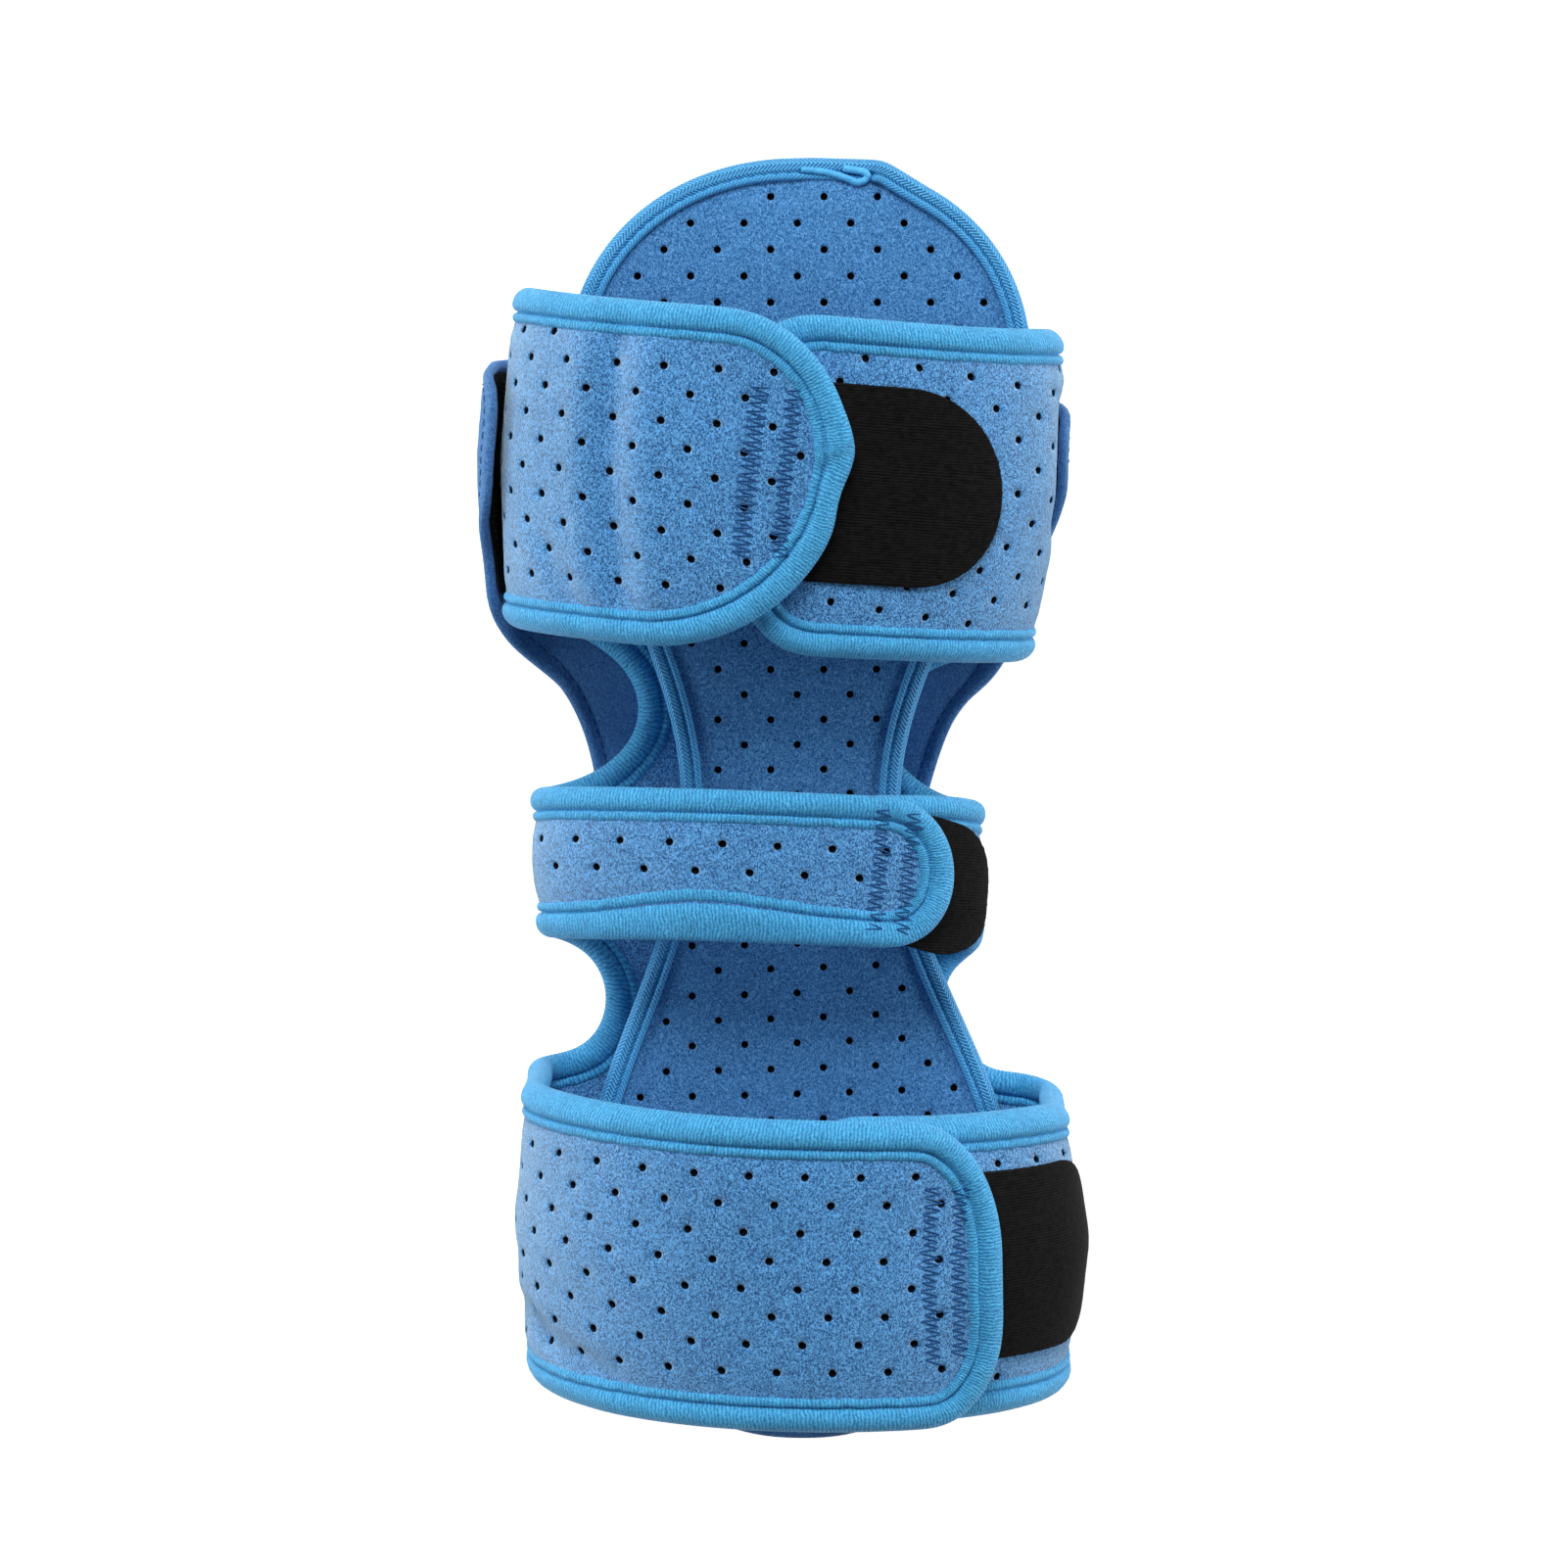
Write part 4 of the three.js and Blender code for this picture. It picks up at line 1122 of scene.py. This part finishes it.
# Wrap binding
def binding():
    section, section_length = both_sides(BINDING_PROFILE)
    rings = np.zeros((len(wrap_edge), len(section), 3))
    arc_length = np.arange(len(wrap_edge)) * wrap_edge_length / len(wrap_edge)
    on_length = np.column_stack([arc_length, arc_length * 0])
    swell = 1 + ripple(on_length, "binding")
    uneven = ripple(on_length, "binding_edge")
    from_tip = np.abs(wrap_edge[:, 0] + STRAPS[0]["reach"][-1]) + np.abs(wrap_edge[:, 1] - LAP_TIP["y"])
    tip = arc_length[np.argmin(from_tip)]
    bulge = bell(wrap_edge[:, 0], BINDING_BULGE["s"], BINDING_BULGE["reach"])
    bulge = bulge * (np.abs(wrap_edge[:, 1] - BINDING_BULGE["y"]) < BINDING_BULGE["near"])
    for j, (inset, height) in enumerate(section):
        widened = inset * (1 + BINDING_BULGE["widen"] * bulge) + uneven * smoothstep(inset, *BINDING_INNER)
        flat = wrap_edge + wrap_inward * widened[:, None]
        flat[:, 0] += tip_shift * smoothstep(inset, *LAP_TIP["straight"])
        past = arc_length - tip + LAP_TIP["slant"] * (inset - LAP_TIP["root"])
        lap = LAP_TIP["step"] * between(past, -LAP_TIP["ramp"], LAP_TIP["ramp"], 0, LAP_TIP["fade"])
        lap = lap * min(1, abs(height) / LAP_TIP["full_height"]) * np.sign(height)
        on_front = min(1, max(0, height / BINDING_PRESS_HEIGHT))
        pressed = BINDING_CREASE * crease_depth(flat) + zigzag_press(flat) * on_front
        rings[:, j] = on_wrap(flat, height * swell + lap + wrap_bend(flat) - pressed)
    return sweep(section_length, wrap_edge_length, rings)


points, faces, uv = binding()
wrap_binding = add_piece("wrap_binding_rib", points, faces, [binding_cloth], uv)
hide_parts("wrap_binding")


# Seams
def zigzags():
    """The zigzag seams' threads, on the cloth or on the binding"""
    shapes = []
    share = np.linspace(0, 1, STITCH["points"])
    arch = np.sin(math.pi * share)
    lift = STITCH["rise"] * arch ** STITCH_ARCH - STITCH["sunk"]
    radius = THREAD_RADIUS * (0.5 + 0.5 * arch ** 0.5)
    for seam in ZIGZAGS:
        (x0, y0), (x1, y1) = seam["from"], seam["to"]
        count = int(math.hypot(x1 - x0, y1 - y0) / ZIGZAG_PITCH * 2)
        way = np.linspace(0, 1, count + 1)
        sides = np.where(np.arange(count + 1) % 2, 0.5, -0.5) * seam["width"]
        x = x0 + (x1 - x0) * way + sides + random.normal(0, STITCH["stray_across"], count + 1)
        x += seam["bow"] * (2 * way - 1) ** 2
        y = y0 + (y1 - y0) * way + STITCH["slant"] * sides
        y += random.normal(0, STITCH["stray_along"], count + 1)
        for i in range(count):
            flat = np.column_stack([x[i] + (x[i + 1] - x[i]) * share, y[i] + (y[i + 1] - y[i]) * share])
            flat[:, 1] += STITCH["sag"] * arch
            near = distances(flat, wrap_near)
            binding_height = np.interp(near, BINDING_INSETS, BINDING_HEIGHTS)
            surface = np.where(near < BINDING_INSETS[-1], binding_height, padded_half("wrap", flat, near))
            height = surface - zigzag_press(flat) - crease_depth(flat) + wrap_bend(flat)
            shapes.append(tube(on_wrap(flat, height + lift), radius))
    return join(shapes)


def seam_line(loop, inset, place, height):
    """Rows of short stitches along a closed edge, on both faces of a cloth, sunk at both ends"""
    line, length = resample(loop + inward(loop) * inset, SEAM["step"])
    pitch = SEAM["long"] + SEAM["short"]
    shapes = []
    for start in np.arange(0, length - pitch, pitch):
        first = int(start / SEAM["step"])
        flat = line[first:first + int(SEAM["long"] / SEAM["step"]) + 1][::SEAM["every"]]
        arch = np.sin(math.pi * np.linspace(0, 1, len(flat)))
        lift = SEAM["rise"] * arch ** STITCH_ARCH - SEAM["sunk"]
        for sign in (1, -1):
            shapes.append(tube(place(flat, sign * (height + lift)), SEAM["radius"], SEAM["sides"]))
    return join(shapes)


points, faces = zigzags()
zigzag_seams = add_piece("zigzag_seams", points, faces, [thread_cloth])

# Board
board_edge, board_edge_length = resample(board_outline(), BOARD_EDGE_STEP)
board_edge = soften(board_edge, 2)
board_inward = inward(board_edge)
board_near = edge_tree(board_edge)


def board_holes():
    known = np.array(BOARD_HOLE_ROWS["row"])[::-1]
    heights = np.array(BOARD_HOLE_ROWS["y"])[::-1]
    y = np.interp(BOARD_ROWS, known, heights)
    for beyond, end in ((BOARD_ROWS < known[0], 0), (BOARD_ROWS > known[-1], -1)):
        y = np.where(beyond, heights[end] - (BOARD_ROWS - known[end]) * BOARD_ROW_PITCH, y)
    found = []
    for row, height in zip(BOARD_ROWS, y):
        x = BOARD_HOLE_PHASE + (BOARD_COLUMNS + 0.5 * (row % 2)) * BOARD_HOLE_PITCH
        slope = np.interp(height, BOARD_HOLE_SLOPE["y"], BOARD_HOLE_SLOPE["slope"])
        found.append(np.column_stack([x, height + slope * x]))
    found = np.vstack(found)
    found = found[inside(found, board_edge)]
    return found[distances(found, board_near) > BOARD_HOLE_EDGE]


def board_cloth():
    """Points and faces of the padded board, its flat places, and marks of the faces inside holes, which take
    painted shade
    """
    edge = inner_edge("board", board_edge)
    holes = board_holes()
    flat, faces, half, hole_rim, edge_rim = perforated("board", edge, holes)
    front = on_board(flat, half)
    back_flat, back_faces, back_depth = flat_cut(edge, [], BOARD_BACK_STEP)
    back = on_board(back_flat, -padded_half("board", back_flat, back_depth + PADDED["board"]["inset"]))
    on_back = {tuple(np.round(p, 4)): len(front) + i for i, p in enumerate(back_flat)}
    cloth = faces.tolist() + (back_faces[:, ::-1] + len(front)).tolist()
    for a, b in edge_rim:
        c, d = (on_back[tuple(np.round(flat[v], 4))] for v in (a, b))
        cloth.append((a, c, d, b))
    where, sunk = sink_holes(flat, hole_rim, holes, 0, len(front) + len(back))
    points = np.vstack([front, back, on_board(where, BOARD_HOLE_FLOOR)])
    places = np.vstack([flat, back_flat, where])
    return points, cloth + sunk, places, np.repeat([0, 1], [len(cloth), len(sunk)])


points, faces, flat, marks = board_cloth()
splint_board = add_piece(
    "splint_board_velour", points, faces, [board_velour, hole_painted_shade],
    vertex_uv(flat, faces), marks,
)
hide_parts("splint_board")


def board_tape():
    """The tape round the board's edge, and the hook of its cord"""
    section, section_length = both_sides(TAPE_PROFILE)
    rings = np.zeros((len(board_edge), len(section), 3))
    arc_length = np.arange(len(board_edge)) * board_edge_length / len(board_edge)
    fold = arc_length[np.argmin(np.hypot(board_edge[:, 0] - TAPE_LAP["x"], board_edge[:, 1] - TAPE_LAP["y"]))]
    ramp = TAPE_LAP["ramp"]
    for j, (inset, height) in enumerate(section):
        flat = board_edge + board_inward * inset
        past = arc_length - fold + TAPE_LAP["slant"] * inset
        lap = between(past, -ramp, ramp, 0, TAPE_LAP["fade"]) * TAPE_LAP["step"]
        before = between(past, TAPE_SUNK["start"], TAPE_SUNK["full"], -ramp, ramp)
        on_cord = np.clip((inset - TAPE_SUNK["inset"]) / TAPE_SUNK["over"], 0, 1)
        moved = lap - before * on_cord * TAPE_SUNK["depth"]
        rings[:, j] = on_board(flat, height + np.sign(height) * np.minimum(1, abs(height)) * moved)
    points, faces, uv = sweep(section_length, board_edge_length, rings)
    way = np.linspace(0, 1, len(CORD_HOOK))
    fine = np.linspace(0, 1, CORD["points"])
    path = np.column_stack([np.interp(fine, way, [p[k] for p in CORD_HOOK]) for k in (0, 1)])
    for _ in range(CORD["rounds"]):
        path[1:-1] = (path[:-2] + 2 * path[1:-1] + path[2:]) / 4
    height = CORD["height"] + CORD["rise"] * smoothstep(fine, *CORD["along"])
    hook, hook_faces = tube(on_board(path, height), CORD["radius"], CORD["sides"])
    points, all_faces = join([(points, faces), (hook, hook_faces)])
    return points, all_faces, uv + [(CORD["map_place"],) * len(f) for f in hook_faces]


points, faces, uv = board_tape()
board_tape_piece = add_piece("board_tape_weave", points, faces, [tape_cloth], uv)
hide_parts("board_tape")

points, faces = seam_line(board_edge, TAPE_SEAM["inset"], on_board, TAPE_SEAM["height"])
add_piece("tape_seam", points, faces, [seam_thread])

# Cover
cover_edge = soften(resample(cover_outline(), COVER_EDGE_STEP)[0], COVER_EDGE_ROUNDS)


def cover_half(depth):
    """Half the cover's thickness: round edge, and a groove where the seam runs"""
    groove = COVER_GROOVE["depth"] * bell(depth, COVER_SEAM, COVER_GROOVE["width"])
    return COVER_HALF * rounded_edge(depth, COVER_ROUND) - groove


def cover_hem(flat, depth):
    """How much thicker the hem is on the inner face, with fine gathers along it"""
    gathers = 1 + ripple(flat, "hem")
    return COVER_HEM["height"] * gathers * bell(depth, COVER_HEM["inset"], COVER_HEM["width"], 4)


flat, faces, depth = flat_cut(cover_edge, COVER_CONTOURS, COVER_MESH_STEP)
half = cover_half(depth)
wave = ripple(flat, "cover") * smoothstep(np.abs(flat[:, 0]), *COVER_WAVES)
points = np.vstack([on_cover(flat, wave - half - cover_hem(flat, depth)), on_cover(flat, wave + half)])
faces = two_sided(faces, len(flat), rim_of(faces))
cover = add_piece("back_cover_velour", points, faces, [cover_velour], vertex_uv(flat, faces))
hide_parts("back_cover")

points, faces = seam_line(cover_edge, COVER_SEAM, on_cover, COVER_SEAM_HEIGHT)
cover_seam = add_piece("cover_seam", points, faces, [thread_cloth])


# Hook strips on the cover's wings
def hook_strip(side, name):
    """A strip that follows its wing's edge, and its bristles in rows"""
    inner, outer, upper, lower = HOOK_STRIPS[name]

    def far_edge(y):
        reach = np.interp(y, [row["y"] for row in COVER][::-1], [row[name] for row in COVER][::-1])
        return np.minimum(outer, reach - HOOK_STRIP_MARGIN)

    y = np.arange(upper, lower, -HOOK_STRIP_STEP)
    y = y[far_edge(y) > inner + HOOK_STRIP_LEAST]
    near = np.full(len(y), inner)
    path = np.vstack([np.column_stack([far_edge(y), y]), np.column_stack([near, y])[::-1]]) * (side, 1)
    edge = soften(resample(path if side > 0 else path[::-1], HOOK_STRIP_STEP)[0], 2)
    flat, faces, depth = flat_cut(edge, HOOK_STRIP_CONTOURS, HOOK_MESH_STEP)
    rounded = HOOK_STRIP_ROUND["height"] * bell(depth, 0, HOOK_STRIP_ROUND["width"])
    top_face = on_cover(flat, -HOOK_STRIP_FAR + HOOK_STRIP_TOP + rounded)
    foot_face = on_cover(flat, -HOOK_STRIP_NEAR)
    shapes = [(np.vstack([top_face, foot_face]), two_sided(faces, len(flat), rim_of(faces)))]
    inwards = -HOOK_STRIP_FAR + BRISTLE_FOOT - BRISTLE_RISE
    for i, height in enumerate(np.arange(y[-1] + BRISTLE_MARGIN, y[0] - BRISTLE_MARGIN, BRISTLE_PITCH)):
        first = inner + BRISTLE_MARGIN + (i % 2) * BRISTLE_SHIFT
        for x in np.arange(first, far_edge(height) - BRISTLE_END, BRISTLE_PITCH):
            foot = [side * x + random.normal(0, BRISTLE_STRAY), height + random.normal(0, BRISTLE_STRAY)]
            bristle = np.array([foot] * len(BRISTLE_RISE))
            bristle[:, 1] += BRISTLE_LEAN * random.choice([-1, 1])
            shapes.append(tube(on_cover(bristle, inwards), BRISTLE_RADII, BRISTLE_SIDES))
    return join(shapes)


for side, name in SIDES:
    points, faces = hook_strip(side, name)
    piece = add_piece(f"cover_hook_{name}_bristles", points, faces, [bristle_glint_cloth])
    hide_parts(f"cover_hook_{name}")


# Hook tabs
def hook_tab(tab):
    """Points and faces of a tab that lies on the loop, and its flat places"""
    tip, start = front_lengths(tab["tip"], 1), front_lengths(tab["start"], 1)
    middle = (tab["upper"] + tab["lower"]) / 2
    length = np.interp(middle, ROWS, start) - np.interp(middle, ROWS, tip)
    radius, rear = tab["radius"], length - TAB_REAR
    path = np.vstack([
        arc((rear, tab["upper"] - TAB_REAR), TAB_REAR, 90, 0, TAB_REAR_POINTS),
        arc((rear, tab["lower"] + TAB_REAR), TAB_REAR, 0, -90, TAB_REAR_POINTS),
        arc((radius, tab["lower"] + radius), radius, -90, -180, TAB_TIP_POINTS),
        arc((radius, tab["upper"] - radius), radius, 180, 90, TAB_TIP_POINTS),
    ])
    pivot = np.array([length * TAB_PIVOT, middle])
    droop = math.radians(tab["droop"])
    turn = np.array([[math.cos(droop), math.sin(droop)], [-math.sin(droop), math.cos(droop)]])
    edge = resample(pivot + (path - pivot) @ turn, TAB_EDGE_STEP)[0]
    flat, faces, depth = flat_cut(edge, TAB_CONTOURS, HOOK_MESH_STEP)
    first, last = np.interp(flat[:, 1], ROWS, tip), np.interp(flat[:, 1], ROWS, start)
    across = first + (last - first) * flat[:, 0] / length
    low = tab["lift"] + TAB_GAP
    rounded = rounded_edge(depth, TAB_ROUND)
    under = low + TAB_THICKNESS / 2 * (1 - rounded)
    over = low + TAB_THICKNESS / 2 * (1 + rounded) + ripple(flat, "tab")
    points = np.vstack([on_loop(across, flat[:, 1], offset) for offset in (under, over)])
    return points, two_sided(faces, len(flat), rim_of(faces)), flat


for tab in TABS:
    points, faces, flat = hook_tab(tab)
    uv = vertex_uv(flat, faces)
    piece = add_piece(f"hook_tab_{tab['name']}_tape", points, faces, [hook_cloth], uv)
    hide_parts(f"hook_tab_{tab['name']}")

# Floor, light and camera
scene = bpy.context.scene
scene.view_settings.view_transform = "Standard"
bpy.ops.mesh.primitive_plane_add(size=12, location=(0, 0, 0))
floor = bpy.context.active_object
floor.name = "floor"
floor_white = bpy.data.materials.new("floor_white")
floor_white.use_nodes = True
set_inputs(floor_white.node_tree.nodes["Principled BSDF"], {
    "Base Color": (0.5, 0.5, 0.5, 1), "Roughness": 1.0, "Specular IOR Level": 0.0,
    "Emission Color": (1, 1, 1, 1), "Emission Strength": 0.92,
})
floor.data.materials.append(floor_white)

world = bpy.data.worlds.new("studio")
world.use_nodes = True
set_inputs(world.node_tree.nodes["Background"], {"Color": (1, 1, 1, 1), "Strength": 0.18})
scene.world = world


def soft_light(name, place, aim, size, power):
    data = bpy.data.lights.new(name, "AREA")
    data.shape = "DISK"
    data.size = size
    data.energy = power
    light = bpy.data.objects.new(name, data)
    light.location = place
    light.rotation_euler = (Vector(aim) - Vector(place)).to_track_quat("-Z", "Y").to_euler()
    scene.collection.objects.link(light)


soft_light("key_light", (-0.15, 1.6, 1.55), aim=(0, 0, 0.03), size=1.3, power=45)
for side, name in SIDES:
    soft_light(f"{name}_light", (1.15 * side, 0.1, 0.2), aim=(0, 0, 0.04), size=0.6, power=7.5)

CAMERA_PLACE = np.array([0.0, 124.2, 1159.3])
CAMERA_TILT = -6.2
CAMERA_LENS = 99.05
camera_data = bpy.data.cameras.new("camera")
camera_data.sensor_width = 36
camera_data.lens = CAMERA_LENS
camera = bpy.data.objects.new("camera", camera_data)
camera.location = (CAMERA_PLACE + SHIFT) * MM
camera.rotation_euler = (math.radians(CAMERA_TILT), 0, 0)
scene.collection.objects.link(camera)
scene.camera = camera
